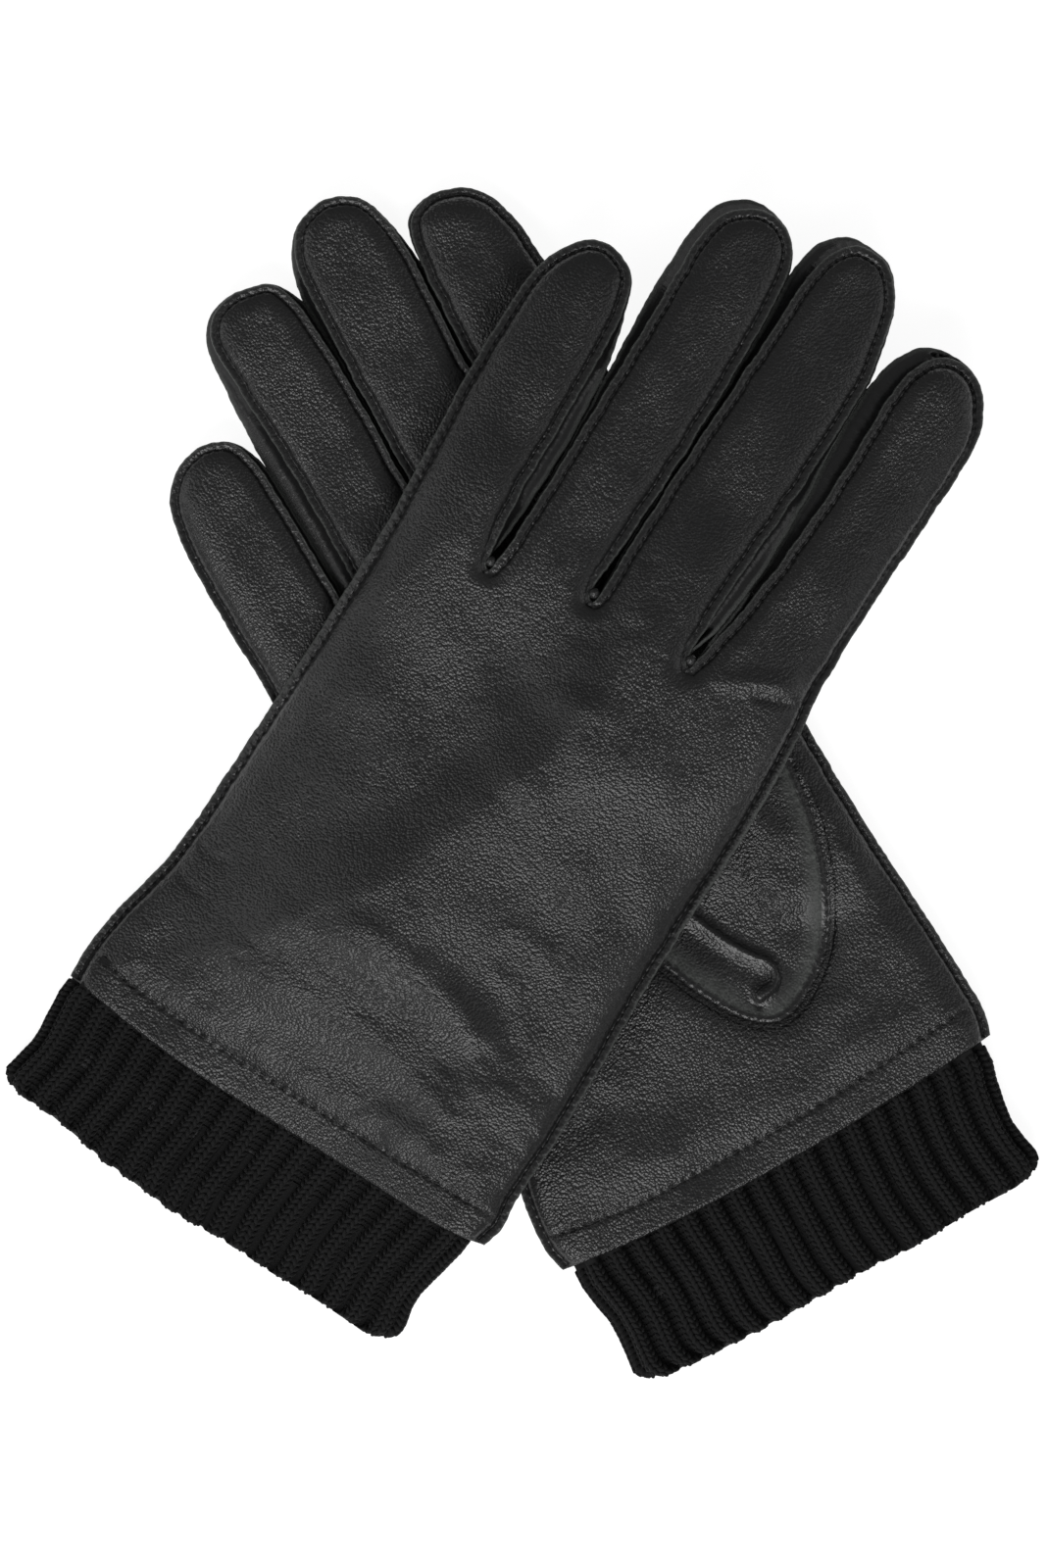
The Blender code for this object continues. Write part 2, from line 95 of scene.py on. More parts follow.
# One glove's upper sheet, clockwise from the hem's little-finger end. A finger's points are its left
# side, its tip and its right side; a third and fourth number are how far the lower sheet's edge lies
# beside the upper one's, in x and y.
LEFT = {
    "side": "left",
    "thumb_root": (26, 50),
    "height": LEFT_HEIGHT,
    "seam_width": 1.0,
    "little_side": ((-56.4, -0.8), (-56.7, 7), (-55.8, 16), (-54.2, 24), (-52.5, 32), (-51.6, 42),
                    (-51.2, 62), (-50.9, 90), (-50.9, 116)),
    "index_side": ((50.8, 142), (52, 133.5), (53.2, 120), (53.9, 104), (53.6, 85), (54, 62), (54.7, 45),
                   (55.2, 25), (54.8, 11), (55.4, 4), (54.2, -1.2)),
    "hem": ((54.2, -1.2), (46, -2.8), (22, -3.4), (-2, -3.8), (-22, -4), (-42, -2.6), (-56.4, -0.8)),
    "stitches": ((-55.6, 6.9), (-46, 5.4), (-35, 4.5), (-22, 3.9), (0, 4), (22, 4.5), (54.4, 5.4)),
    "fingers": {
        "little": (((-51.4, 129), (-52.6, 145), (-53.8, 160), (-54.2, 176)),
                   ((-53.6, 189.5), (-50.6, 197.2), (-46, 201.6), (-40.6, 202), (-35.4, 199.6)),
                   ((-32.2, 191.5, 0.4), (-30.9, 178, 2.6), (-30.2, 163, 3.4), (-29.7, 148, 3.2),
                    (-28.8, 137, 1.8))),
        "ring": (((-25.2, 140), (-25.3, 158, -0.5), (-25.8, 180, -1.8), (-26.2, 198, -2.8)),
                 ((-26.7, 213, -2.2, 1), (-25.2, 221.4, -2, 1.6), (-20.6, 226.2, -1.4, 1.7),
                  (-14, 227.8, 0, 0.3), (-8.4, 224.6)),
                 ((-5.5, 217.4, 0.3), (-4.2, 203, 0.4), (-3.7, 188, 0.4), (-3.5, 168, 0.2), (-3.9, 148))),
        "middle": (((-2.4, 145, -0.4), (-2.4, 165, -0.8), (-2, 188, -1.6), (-1.6, 204, -2.4)),
                   ((-1.5, 219, -3.4, 0.6), (0.4, 227.8, -3.6, 0.6), (5, 232.6, -2.4, 0.7),
                    (12, 232.2, 0, 0.5), (17.8, 226.2, 0, 0.2)),
                   ((20.9, 216, 0.4), (22.5, 206.5, 0.3), (22.8, 191, 0.8), (22.5, 174, 2.9),
                    (21.8, 158, 3.9), (21.6, 144, 2.6))),
        "index": (((24.6, 138, -0.4), (26.6, 150, -1.4), (28, 165, -2.6), (28.8, 182, -4.2),
                   (28.7, 198, -5.3)),
                  ((28.6, 211, -4.6, 1), (31.2, 219, -3, 1.6), (36.5, 222.7, -1, 0.5), (43, 221.6, 0, 0.2),
                   (48.1, 216.2)),
                  ((50.5, 208), (50.7, 195), (50.4, 178), (50.1, 158))),
    },
    "crotches": ((-26.4, 126.2), (-3.1, 132.6), (23.1, 131.6)),
    "bend": (-5, 11),
    "cuff": {"y": (10, -5, -9, -14, -18, -22, -25.5, -33),
             "low": (-55, -56.3, -55.8, -55.4, -55.5, -56.3, -57, -56),
             "high": (51.8, 50.7, 49.6, 48.5, 47.9, 48, 48.7, 49.2)},
    "cuff_end": ((-57.5, -26.4), (-55.4, -27.9), (-50, -28.9), (-45, -29.1), (-38, -30), (-30, -31.3),
                 (-10, -32.4), (0, -32.2), (12, -31.6), (30, -31.9), (43, -31.9), (47, -30.7),
                 (49.4, -28.2)),
    "thumb_axis": ((24, 50), (6, 98)),
}
RIGHT = {
    "side": "right",
    "thumb_root": (24, 48),
    "height": PALM_HEIGHT,
    "seam_width": 0.84,
    "little_side": ((-55.2, -0.4), (-56.4, 5), (-56, 14), (-54.5, 22), (-52.6, 34), (-51.2, 62),
                    (-50.7, 100)),
    "index_side": ((52.2, 130), (52.1, 100), (52.2, 78), (52.5, 62), (53.6, 44), (54.8, 28), (55.3, 17),
                   (55.7, 8.5), (55.5, 2.8), (54.3, -0.9)),
    "hem": ((54.3, -0.9), (44, -1.8), (22, -3), (0, -3.5), (-22, -3.3), (-42, -2), (-55.2, -0.4)),
    "stitches": ((-55.4, 8), (-47, 6.5), (-34, 4.5), (-15, 4), (0, 4), (15, 4.4), (30, 5.4), (55, 7.4)),
    "fingers": {
        "little": (((-50.3, 130), (-50.2, 148), (-50.9, 166)),
                   ((-50.5, 185), (-48.2, 194.4), (-43.2, 199.3), (-36.8, 200.9), (-30.6, 199)),
                   ((-27.6, 192.5, 0.9), (-26.6, 180, 1.4), (-26, 164, 1.2), (-25.8, 146))),
        "ring": (((-21.6, 145, -1), (-20.9, 162, -4.2), (-21, 178, -4.8), (-21.6, 194, -4.2)),
                 ((-22.7, 212, -2.3, 0.5), (-22.4, 221.6, -0.8, 0.6), (-18.2, 226.3, -0.3, 0.4),
                  (-11, 227.2, 0, 0.1), (-4.7, 225.2, 0, 0.1)),
                 ((-1.9, 218.4, 1.2), (-0.7, 207, 0.9), (-0.2, 190, 0.6), (-0.3, 170, 0.5),
                  (-0.6, 148, 0.4))),
        "middle": (((1, 148, -0.5), (1, 170, -0.8), (1.1, 190, -0.8), (1.4, 206, -1.3)),
                   ((1.7, 219, -1.9, 0.3), (3, 228, -0.7, 0.4), (7.4, 234.1, 0, 0.1), (14.6, 236),
                    (21.8, 232.6)),
                   ((25.2, 223.4, 0.2), (25.6, 211, 1), (25, 197, 1), (24.7, 178, 1), (25, 150, 0.2))),
        "index": (((26.3, 150), (26.1, 180, -0.3), (26.3, 200, -0.2)),
                  ((27.2, 213.6), (29.6, 222.4, -0.3, 0.6), (35.2, 225.4, 0, 0.1), (42.4, 224, 0, 0.1),
                   (48.1, 218.4)),
                  ((50.7, 208.4), (51.4, 198), (51.7, 175), (52, 150))),
    },
    "crotches": ((-24.2, 126.6), (0.4, 132.8), (25.7, 131.6)),
    "bend": (-8, 8),
    "cuff": {"y": (10, -6, -10, -15, -20, -25, -28, -34),
             "low": (-52.2, -52.9, -52.2, -51.4, -51.3, -51.8, -52, -50.6),
             "high": (52.8, 51.7, 50.3, 49.4, 49, 49.5, 50.2, 50.6)},
    "cuff_end": ((-53, -28.4), (-50.6, -31), (-46, -32), (-38, -32.9), (-20, -33.3), (-4, -32.9),
                 (10, -33.3), (24, -33.1), (43, -33.2), (48, -32.4), (51.4, -29.2)),
    "thumb_axis": ((24, 50), (29.6, 106)),
}

# The thumb's seam round its root, from the index side round to the little-finger side
THUMB_SEAM = ((43.4, 74), (41.4, 60), (36.4, 45.6), (29.4, 34.6), (21, 28.4), (15, 26.8), (9.8, 29.8),
              (4.9, 37), (1, 45), (-1.4, 54))
THUMB_HALF = 12.0

# Folds and swells: path, height, reach of the flanks to the left and right of the path's direction, and
# the shares of the path over which the ends fade. The swells lift both sheets of the left glove.
THUMB_FOLDS = (
    (((5, 64), (9.2, 54), (12.4, 47), (15.8, 41.6), (18.6, 38), (19.2, 35), (17.4, 32.6), (13.8, 31.9),
      (11.2, 30.8)), 1.6, 1.2, 2, (0.22, 0.05)),
    (((26, 56), (28, 50), (27, 44)), 0.4, 4, 3),
)
LEFT_SWELLS = (
    (((-60, 139), (-10, 137), (16, 128), (34, 121), (66, 106)), 4.2, 52, 32),
    (((-37, 2), (-28, 23), (-17, 41), (-5, 59), (2, 76), (8, 95), (12, 116), (16, 150), (20, 205)), 4.3,
      11.5, 24, (0.16, 0.6)),
)
LEFT_FOLDS = (
    (((18, 83), (34, 75), (42, 64), (46, 49)), 1.1, 5, 7),
    (((-18, 41), (0, 42.5), (15, 41.5), (27, 37), (34, 31)), 1.35, 4.5, 6),
    (((-32, 26), (-10, 24.5), (10, 24), (28, 21), (40, 18)), 1.1, 5, 7),
    (((42, 54), (43.5, 75), (42, 98)), 0.8, 5.5, 5, (0.3, 0.3)),
    (((-54, 10.6), (-30, 8.4), (-10, 7.8), (10, 8.6), (30, 9.4), (46, 10)), 1.15, 6, 2.8),
    (((4, 84), (7, 96), (8, 108), (6, 118)), 1.3, 6, 10),
    (((12, 96), (24, 104), (36, 112)), 0.9, 8, 9),
    (((3, 148), (5, 140), (9, 133)), 0.45, 2.6, 3.4),
    (((28, 131.5), (38, 137.5), (50, 142.5)), 0.9, 2.6, 2.2),
    (((37, 134), (44, 136.6), (52, 138.6)), -0.9, 1.2, 1),
    (((20, 52), (30, 50), (36, 42)), 0.35, 2, 2.6),
    (((17, 62), (28, 62), (38, 57)), 0.35, 2.4, 2.8),
    (((-51, 42), (-45, 39), (-39, 40)), -0.35, 1, 1),
    (((-51, 34), (-46, 31), (-40, 31)), -0.3, 1, 1),
)
RIGHT_FOLDS = (
    (((-48, 15), (-30, 12), (-8, 10), (16, 10.5), (44, 13)), 0.7, 6, 4),
    (((-50, 26), (-36, 26), (-24, 30)), -0.5, 4, 4),
    (((22, 24), (30, 22), (40, 26)), 0.35, 3, 4),
    (((46, 40), (47, 55), (48, 68)), 0.4, 3, 3),
    (((1, 68), (9, 51), (14.5, 41.5), (20, 36), (28, 38), (38, 48)), -2.6, 15, 9),
    (((-2.8, 62), (1.6, 45.5), (5.4, 37.5), (10, 30.4), (15, 27.4), (21, 29.1), (29, 35.4), (36, 46)), -1.2,
      3, 5),
)


# --- Numbers ---


def smoothstep(share):
    share = np.clip(share, 0.0, 1.0)
    return share * share * (3 - 2 * share)


def catmull(points, at):
    """A centripetal Catmull-Rom curve; at counts control points, with fractions."""
    points = np.asarray(points, float)
    knots = np.vstack([2 * points[0] - points[1], points, 2 * points[-1] - points[-2]])
    low = np.clip(at.astype(int), 0, len(points) - 2)
    four = [knots[low + k] for k in range(4)]
    gaps = [np.sqrt(np.linalg.norm(four[k + 1][:, :2] - four[k][:, :2], axis=1)) + 1e-6 for k in range(3)]
    times = [np.zeros(len(at)), gaps[0], gaps[0] + gaps[1], gaps[0] + gaps[1] + gaps[2]]
    now = times[1] + (at - low) * gaps[1]

    def between(a, b, first, last):
        share = ((now - times[first]) / (times[last] - times[first]))[:, None]
        return a + (b - a) * share

    first = [between(four[k], four[k + 1], k, k + 1) for k in range(3)]
    second = [between(first[k], first[k + 1], k, k + 2) for k in range(2)]
    return between(second[0], second[1], 1, 2)


def spaced(points, step):
    """The places along the curve, in control points, that lie about a step apart."""
    fine = np.linspace(0, len(points) - 1, (len(points) - 1) * 24 + 1)
    line = catmull(points, fine)
    length = np.concatenate([[0], np.cumsum(np.linalg.norm(np.diff(line[:, :2], axis=0), axis=1))])
    count = max(2, int(round(length[-1] / step)))
    return np.interp(np.linspace(0, length[-1], count + 1), length, fine)


def line_through(points, step):
    return catmull(points, spaced(points, step))


def along(line):
    """Distance from the start at every point of a line."""
    return np.concatenate([[0], np.cumsum(np.linalg.norm(np.diff(line[:, :2], axis=0), axis=1))])


def inward_normals(line):
    """Unit normals to the right of the direction of travel, which is inwards on a clockwise outline."""
    tangent = np.gradient(line, axis=0)
    tangent /= np.linalg.norm(tangent, axis=1)[:, None] + 1e-9
    return np.column_stack([tangent[:, 1], -tangent[:, 0]])


def nearest(points, line):
    """Distance to the line, place along it counted in points, and +1 to its left or -1 to its right."""
    distance = np.empty(len(points))
    place = np.empty(len(points))
    side = np.empty(len(points))
    for start in range(0, len(points), 4000):
        part = points[start:start + 4000]
        gap = ((part[:, None, :] - line[None, :, :]) ** 2).sum(2)
        index = gap.argmin(1)
        best = np.full(len(part), 1e9)
        for low in (np.clip(index - 1, 0, len(line) - 2), np.clip(index, 0, len(line) - 2)):
            a, b = line[low], line[low + 1]
            run = b - a
            share = np.clip(((part - a) * run).sum(1) / ((run**2).sum(1) + 1e-12), 0, 1)
            offset = part - (a + run * share[:, None])
            span = np.linalg.norm(offset, axis=1)
            closer = span < best
            best = np.where(closer, span, best)
            chunk = slice(start, start + len(part))
            place[chunk] = np.where(closer, low + share, place[chunk])
            turn = np.sign(run[:, 0] * offset[:, 1] - run[:, 1] * offset[:, 0])
            side[chunk] = np.where(closer, turn, side[chunk])
        distance[start:start + len(part)] = best
    return distance, place, side


def waves(x, y, length, seed, heading=None, spread=0.35, count=26):
    """Smooth noise of about unit size, isotropic, or with crests across a heading in radians."""
    random = np.random.default_rng(seed)
    total = np.zeros(np.shape(x))
    for _ in range(count):
        angle = random.uniform(0, math.tau) if heading is None else heading + random.normal(0, spread)
        k = math.tau / (length * random.uniform(0.7, 1.5))
        total += np.sin(k * (math.cos(angle) * x + math.sin(angle) * y) + random.uniform(0, math.tau))
    return total * math.sqrt(2 / count)


def fold_height(x, y, path, height, left_reach, right_reach, fades=(0.22, 0.22)):
    line = line_through(path, 1.5)
    distance, place, side = nearest(np.column_stack([x, y]), line)
    reach = np.where(side > 0, left_reach, right_reach)
    share = place / (len(line) - 1)
    taper = smoothstep(share / fades[0]) * smoothstep((1 - share) / fades[1])
    return height * taper * np.exp(-((distance / reach) ** 2))


# --- The two planes ---


def place_glove(glove):
    """Adds the glove's angle and origin in the frame, read from its joints."""
    axis = JOINTS[f"{glove['side']}_middle_fold"]["axis"]
    glove["angle"] = math.atan2(axis[1], axis[0])
    pivot = JOINTS[f"{glove['side']}_thumb_swing"]["pos_m"]
    glove["cos"], glove["sin"] = math.cos(glove["angle"]), math.sin(glove["angle"])
    x, y = glove["thumb_root"]
    glove["origin"] = (pivot[0] / MM - x * glove["cos"] + y * glove["sin"],
                       pivot[1] / MM - x * glove["sin"] - y * glove["cos"])
    glove["folds_at"] = {}
    for name in FINGERS:
        place = np.array([JOINTS[f"{glove['side']}_{name}_fold"]["pos_m"][:2]]) / MM
        glove["folds_at"][name] = float(to_plane(glove, place)[0, 1])


def to_frame(glove, points):
    """Points of the glove's plane, with z, as metres in the frame."""
    x, y, z = points[:, 0], points[:, 1], points[:, 2]
    c, s = glove["cos"], glove["sin"]
    ox, oy = glove["origin"]
    return np.column_stack([ox + x * c - y * s, oy + x * s + y * c, z]) * MM


def to_plane(glove, points):
    x, y = points[:, 0] - glove["origin"][0], points[:, 1] - glove["origin"][1]
    c, s = glove["cos"], glove["sin"]
    return np.column_stack([x * c + y * s, -x * s + y * c])


def turned(glove, directions):
    """Directions in the glove's plane, as directions in the frame."""
    x, y, z = directions.T
    c, s = glove["cos"], glove["sin"]
    return np.column_stack([x * c - y * s, x * s + y * c, z])


def frame_point(glove, x, y, z):
    return to_frame(glove, np.array([[x, y, z]]))[0]


place_glove(LEFT)
place_glove(RIGHT)


# --- Heights ---


def thumb_bulge(x, y, glove, reach):
    """1 over a glove's thumb, falling to 0 that far from it; x and y are in that glove's plane."""
    line = np.array(glove["thumb_axis"])
    distance, _, _ = nearest(np.column_stack([x, y]), line)
    return 1 - smoothstep((distance - THUMB_HALF) / reach)


def in_right_plane(x, y):
    flat = np.column_stack([x, y, np.zeros(len(x))])
    return to_plane(RIGHT, to_frame(LEFT, flat)[:, :2] / MM)


def soft_positive(value):
    return 0.5 * (value + np.sqrt(value * value + 64.0))


def resting(glove, x, y):
    """The level a glove lies at: the floor, or for the left glove the right one, falling away past it."""
    if glove is RIGHT:
        return np.full(np.shape(x), FLOOR_GAP)
    across, up = in_right_plane(x, y).T
    past = -across - 0.75 * soft_positive(46.0 - up) + 0.8 * soft_positive(up - 98.0)
    fall = smoothstep((past - LITTLE_EDGE) / LITTLE_FALL)
    fall += 0.42 * smoothstep((across - INDEX_EDGE) / INDEX_FALL)
    return FLOOR_GAP + DRAPE * (1 - fall)


def swell(glove, x, y):
    return sum(fold_height(x, y, *fold) for fold in LEFT_SWELLS) if glove is LEFT else 0.0 * x


def underside(glove, x, y):
    """The lowest sheet, pushed up over the two thumbs between the gloves."""
    level = resting(glove, x, y)
    if glove is RIGHT:
        return level
    other = in_right_plane(x, y)
    free = (1 - thumb_bulge(x, y, LEFT, 26.0)) * (1 - thumb_bulge(other[:, 0], other[:, 1], RIGHT, 26.0))
    return level + 0.4 * THUMB_HEIGHT * (1 - free)


def relief(glove, x, y):
    """The folds and the soft unevenness of the upper sheet."""
    z = np.zeros(len(x))
    for fold in LEFT_FOLDS if glove is LEFT else RIGHT_FOLDS:
        z += fold_height(x, y, *fold)
    on_hand = 1 - smoothstep((y - 110.0) / 60.0)
    z += waves(x, y, 26.0, 5) * (0.10 + 0.10 * on_hand)
    z += waves(x, y, 9.0, 6) * (0.012 + 0.022 * on_hand)
    if glove is LEFT:
        near_hem = np.exp(-(((y - 8.0) / 4.0) ** 2))
        z += waves(x, y, 2.4, 7, heading=0.25, spread=0.6) * 0.06 * near_hem
        z += waves(x, y, 8.0, 10, heading=0.2, spread=0.7) * 0.16 * near_hem
        wrist = np.exp(-(((y - 26.0) / 16.0) ** 2)) * smoothstep((x + 42.0) / 20.0)
        z += waves(x, y, 5.0, 8, heading=math.pi / 2, spread=0.3) * 0.06 * wrist
        z += waves(x, y, 12.0, 9, heading=math.pi / 2, spread=0.25) * 0.16 * wrist
    for cx, cy in glove["crotches"]:
        away = np.hypot(x - cx, y - cy)
        angle = np.arctan2(y - cy, x - cx)
        z += 0.12 * np.exp(-(((away - 5.0) / 3.5) ** 2)) * np.cos(13 * angle + cx) * (y < cy + 1)
    return z


def stitch_gap(glove, x, y):
    """Signed distance from the hem's stitches, positive towards the fingers."""
    line = np.array(glove["stitches"])
    return y - np.interp(x, line[:, 0], line[:, 1])


def round_over(share):
    share = np.clip(share, 0.0, 1.0)
    return np.sqrt(1 - (1 - share) ** 2)


def holes(run, pitch):
    """1 at each needle hole along a row of stitches."""
    return smoothstep((np.cos(math.tau * run / pitch) - 0.2) / 0.6)


def seam_dip(inside, seam, run):
    """The pinch along a row of seam stitches, and the puckered flange outside it."""
    dip = 0.26 * np.exp(-((inside / 0.42) ** 2)) + 0.40 * holes(run, STITCH) * np.exp(-((inside / 0.38) ** 2))
    flange = smoothstep(-inside / 0.5)
    pucker = 0.06 * np.cos(math.tau * run / STITCH) + 0.04 * waves(run, inside, 1.2, 61)
    return seam * (dip - flange * (0.14 + pucker))


def hem_dip(glove, x, y):
    """The stitched crease above the hem, and the turn at its edge."""
    gap = stitch_gap(glove, x, y)
    dip = 0.34 * np.exp(-((gap / 0.6) ** 2)) + 0.62 * holes(x, HEM_STITCH) * np.exp(-((gap / 0.38) ** 2))
    end, _, _ = nearest(np.column_stack([x, y]), glove["hem_line"])
    return dip - 0.5 * smoothstep(-gap / 5.5) + 1.0 * (1 - round_over(end / 1.3)) * (y < 5.0)


def sheet_height(glove, x, y, facts, upper):
    """The height of the upper or lower sheet, from what edge_facts says of the points."""
    distance, wall, seam, run, lift, _ = facts
    half = 0.5 * glove["height"]
    edge = LEATHER + (WALL if upper else LOW_WALL) * wall
    inside = distance - SEAM * seam
    reach = OUTER_ROUND + (INNER_ROUND - OUTER_ROUND) * wall
    if not upper:
        sag = edge + (half - edge) * round_over(2 * inside / reach)
        return underside(glove, x, y) + half - sag + lift * np.exp(-distance / 3.0) + swell(glove, x, y)
    body = edge + (half - edge) * round_over(inside / reach) - seam_dip(inside, seam, run)
    calm = smoothstep(inside / 4.0)
    body += relief(glove, x, y) * calm - hem_dip(glove, x, y) * smoothstep(inside / 1.0)
    return resting(glove, x, y) + half + body + swell(glove, x, y)


def sheet_at(glove, x, y, upper):
    return sheet_height(glove, x, y, edge_facts(glove, x, y, upper), upper)


# --- Meshes ---


def mesh_piece(name, points, faces, material, grain=None, normals=None):
    """A shown mesh from metres; grain is each point's place for the leather's pattern."""
    mesh = bpy.data.meshes.new(name)
    mesh.from_pydata(points.tolist(), [], [tuple(face) for face in faces])
    mesh.polygons.foreach_set("use_smooth", [True] * len(mesh.polygons))
    if grain is not None:
        layer = mesh.attributes.new("grain", "FLOAT_VECTOR", "POINT")
        layer.data.foreach_set("vector", np.ascontiguousarray(grain, np.float32).ravel())
    mesh.update()
    if normals is not None:
        mesh.normals_split_custom_set_from_vertices(normals.tolist())
    mesh.materials.append(material)
    obj = bpy.data.objects.new(name, mesh)
    bpy.context.scene.collection.objects.link(obj)
    return obj


def quads(rings, count, places=None, closed=False, flip=False):
    """Faces from each of the rings to the next: at the given places, or at all of them."""
    if places is None:
        places = range(count if closed else count - 1)
    starts = [(k * count, i, (i + 1) % count) for k in rings for i in places]
    found = [(low + i, low + j, low + count + j, low + count + i) for low, i, j in starts]
    return [(a, d, c, b) for a, b, c, d in found] if flip else found


def set_mask(obj, name, values):
    layer = obj.data.attributes.new(name, "FLOAT", "POINT")
    layer.data.foreach_set("value", np.ascontiguousarray(values, np.float32))


def point_normals(points, faces):
    a, b, c = (points[faces[:, k]] for k in range(3))
    cross = np.cross(b - a, c - a)
    total = np.zeros_like(points)
    for k in range(3):
        np.add.at(total, faces[:, k], cross)
    return total / (np.linalg.norm(total, axis=1)[:, None] + 1e-20)


def fill_rows(outline, step):
    """Points inside the outline, in staggered rows."""
    x, y = outline[:, 0], outline[:, 1]
    x2, y2 = np.roll(x, -1), np.roll(y, -1)
    found = []
    rise = step * math.sqrt(3) / 2
    for row, level in enumerate(np.arange(y.min() + 0.37 * step, y.max(), rise)):
        crosses = (y <= level) != (y2 <= level)
        at = np.sort(x[crosses] + (level - y[crosses]) * (x2 - x)[crosses] / (y2 - y)[crosses])
        offset = 0.5 * step * (row % 2)
        for low, high in zip(at[::2], at[1::2]):
            first = math.ceil((low - offset) / step) * step + offset
            for value in np.arange(first, high, step):
                found.append((value, level))
    return np.array(found)


def fill_outline(outline, lines, step, margin):
    """Triangles that fill a closed outline and keep the given lines as edges."""
    points = [outline]
    edges = [(i, (i + 1) % len(outline)) for i in range(len(outline))]
    count = len(outline)
    for line in lines:
        edges += [(count + i, count + i + 1) for i in range(len(line) - 1)]
        points.append(line)
        count += len(line)
    inner = fill_rows(outline, step)
    closed = np.vstack([outline, outline[:1]])
    inner = inner[nearest(inner, closed)[0] > margin]
    points.append(inner)
    vectors = [Vector(p) for p in np.vstack(points)]
    result = delaunay_2d_cdt(vectors, edges, [], 1, 1e-5)
    places = np.array([tuple(v) for v in result[0]])
    faces = np.array([tuple(f) for f in result[2]])
    used = np.unique(faces)
    back = np.full(len(places), -1)
    back[used] = np.arange(len(used))
    return places[used], back[faces]


def offset_line(line, distance):
    """The line moved inwards, without the points that would come too close to another stretch."""
    moved = line + inward_normals(line) * distance
    return moved[nearest(moved, line)[0] > 0.96 * distance]


# --- Outlines ---


def wall_share(name, part, turned):
    """1 where a side wall joins the two sheets, 0 along the hand's outer edges."""
    if name == "little":
        return (0.0, float(smoothstep(turned)), 1.0)[part]
    if name == "index":
        return (1.0, float(1 - smoothstep(turned)), 0.0)[part]
    return 1.0


def control_points(glove):
    """Rows of x, y, the lower edge's shift in x and y, wall, seam and finger, clockwise from the hem."""
    seam = glove["seam_width"]
    rows = [(*point, 0.0, 0.0, 0.0, seam, 0) for point in glove["little_side"]]
    for number, name in enumerate(FINGERS):
        if number:
            x, y = glove["crotches"][number - 1]
            rows += [(x - 1.5, y + 3.2, 0.0, 0.0, 1.0, 0.5 * seam, number - 1),
                     (x - 0.9, y + 0.7, 0.0, 0.0, 1.0, 0.3, number - 1),
                     (x + 0.3, y + 0.3, 0.0, 0.0, 1.0, 0.6 * seam, number),
                     (x + 0.8, y + 3.2, 0.0, 0.0, 1.0, seam, number)]
        for part, points in enumerate(glove["fingers"][name]):
            for i, point in enumerate(points):
                x, y, dx, dy = (*point, 0, 0)[:4]
                wall = wall_share(name, part, (i + 1) / len(points))
                hidden = glove is LEFT and name == "index" and part == 2
                rows.append((x, y, dx, dy, wall, 0.72 if hidden else seam, number))
    rows += [(*point, 0.0, 0.0, 0.0, seam, len(FINGERS) - 1) for point in glove["index_side"]]
    return np.array(rows)


def finger_side(glove, line, number, after_tip):
    """The outline's points along one side of a finger."""
    own = np.flatnonzero(glove["finger"] == number)
    tip = own[np.argmax(line[own, 1])]
    return own[own > tip] if after_tip else own[own < tip]


def keep_apart(glove, line, gap):
    """Draws the facing sides of neighbouring fingers back where they come nearer than a gap."""
    moved = line.copy()
    for number, (_, foot) in enumerate(glove["crotches"]):
        right = finger_side(glove, line, number, True)
        left = finger_side(glove, line, number + 1, False)
        for own, other, way in ((right, left, 1.0), (left, right, -1.0)):
            order = other[np.argsort(line[other, 1])]
            facing = np.interp(line[own, 1], line[order, 1], line[order, 0])
            short = np.clip(gap - way * (facing - line[own, 0]), 0.0, 3.0)
            moved[own, 0] -= way * 0.5 * short * smoothstep((line[own, 1] - foot - 1.0) / 4.0)
    return moved


def build_outlines(glove):
    rows = control_points(glove)
    at = spaced(rows[:, :2], EDGE_STEP)
    upper = catmull(rows[:, :2], at)
    numbers = np.arange(len(rows))
    shift = np.column_stack([np.interp(at, numbers, rows[:, k]) for k in (2, 3)])
    run = along(upper)
    ripple = 0.02 * np.cos(math.tau * run / STITCH) + 0.04 * waves(run, 0 * run, 1.9, 20)
    ripple += 0.07 * waves(run, 0 * run, 9.0, 21)
    inward = inward_normals(upper)
    glove["edge"] = upper + inward * ripple[:, None]
    glove["run"] = run
    glove["lift"] = 0.32 * np.abs(shift[:, 0]) * (shift[:, 0] > 0)
    glove["wall"] = np.interp(at, numbers, rows[:, 4])
    glove["seam"] = np.interp(at, numbers, rows[:, 5])
    glove["finger"] = rows[np.clip(np.round(at).astype(int), 0, len(rows) - 1), 6].astype(int)
    glove["lower_edge"] = keep_apart(glove, upper + shift + inward * ripple[:, None], LOW_GAP)
    glove["hem_line"] = line_through(glove["hem"], 1.2)


def edge_facts(glove, x, y, upper):
    """Distance from a sheet's raw edge; what build_outlines says of the edge there; the place along it."""
    edge = glove["edge"] if upper else glove["lower_edge"]
    distance, place, _ = nearest(np.column_stack([x, y]), edge)
    at = np.arange(len(edge))
    facts = [np.interp(place, at, glove[name]) for name in ("wall", "seam", "run", "lift")]
    return distance, *facts, place


def split_at(glove, name):
    """The y where a finger's own piece begins: a little below the finger's fold."""
    return glove["folds_at"][name] + glove["bend"][0] - 1.0


def piece_of(glove, points, place):
    """-1 where a point belongs to the hand, or the number of its finger."""
    index = np.clip(np.round(place).astype(int), 0, len(glove["finger"]) - 1)
    number = glove["finger"][index]
    limits = np.array([split_at(glove, name) for name in FINGERS])
    return np.where(points[:, 1] > limits[number] - 1e-6, number, -1)


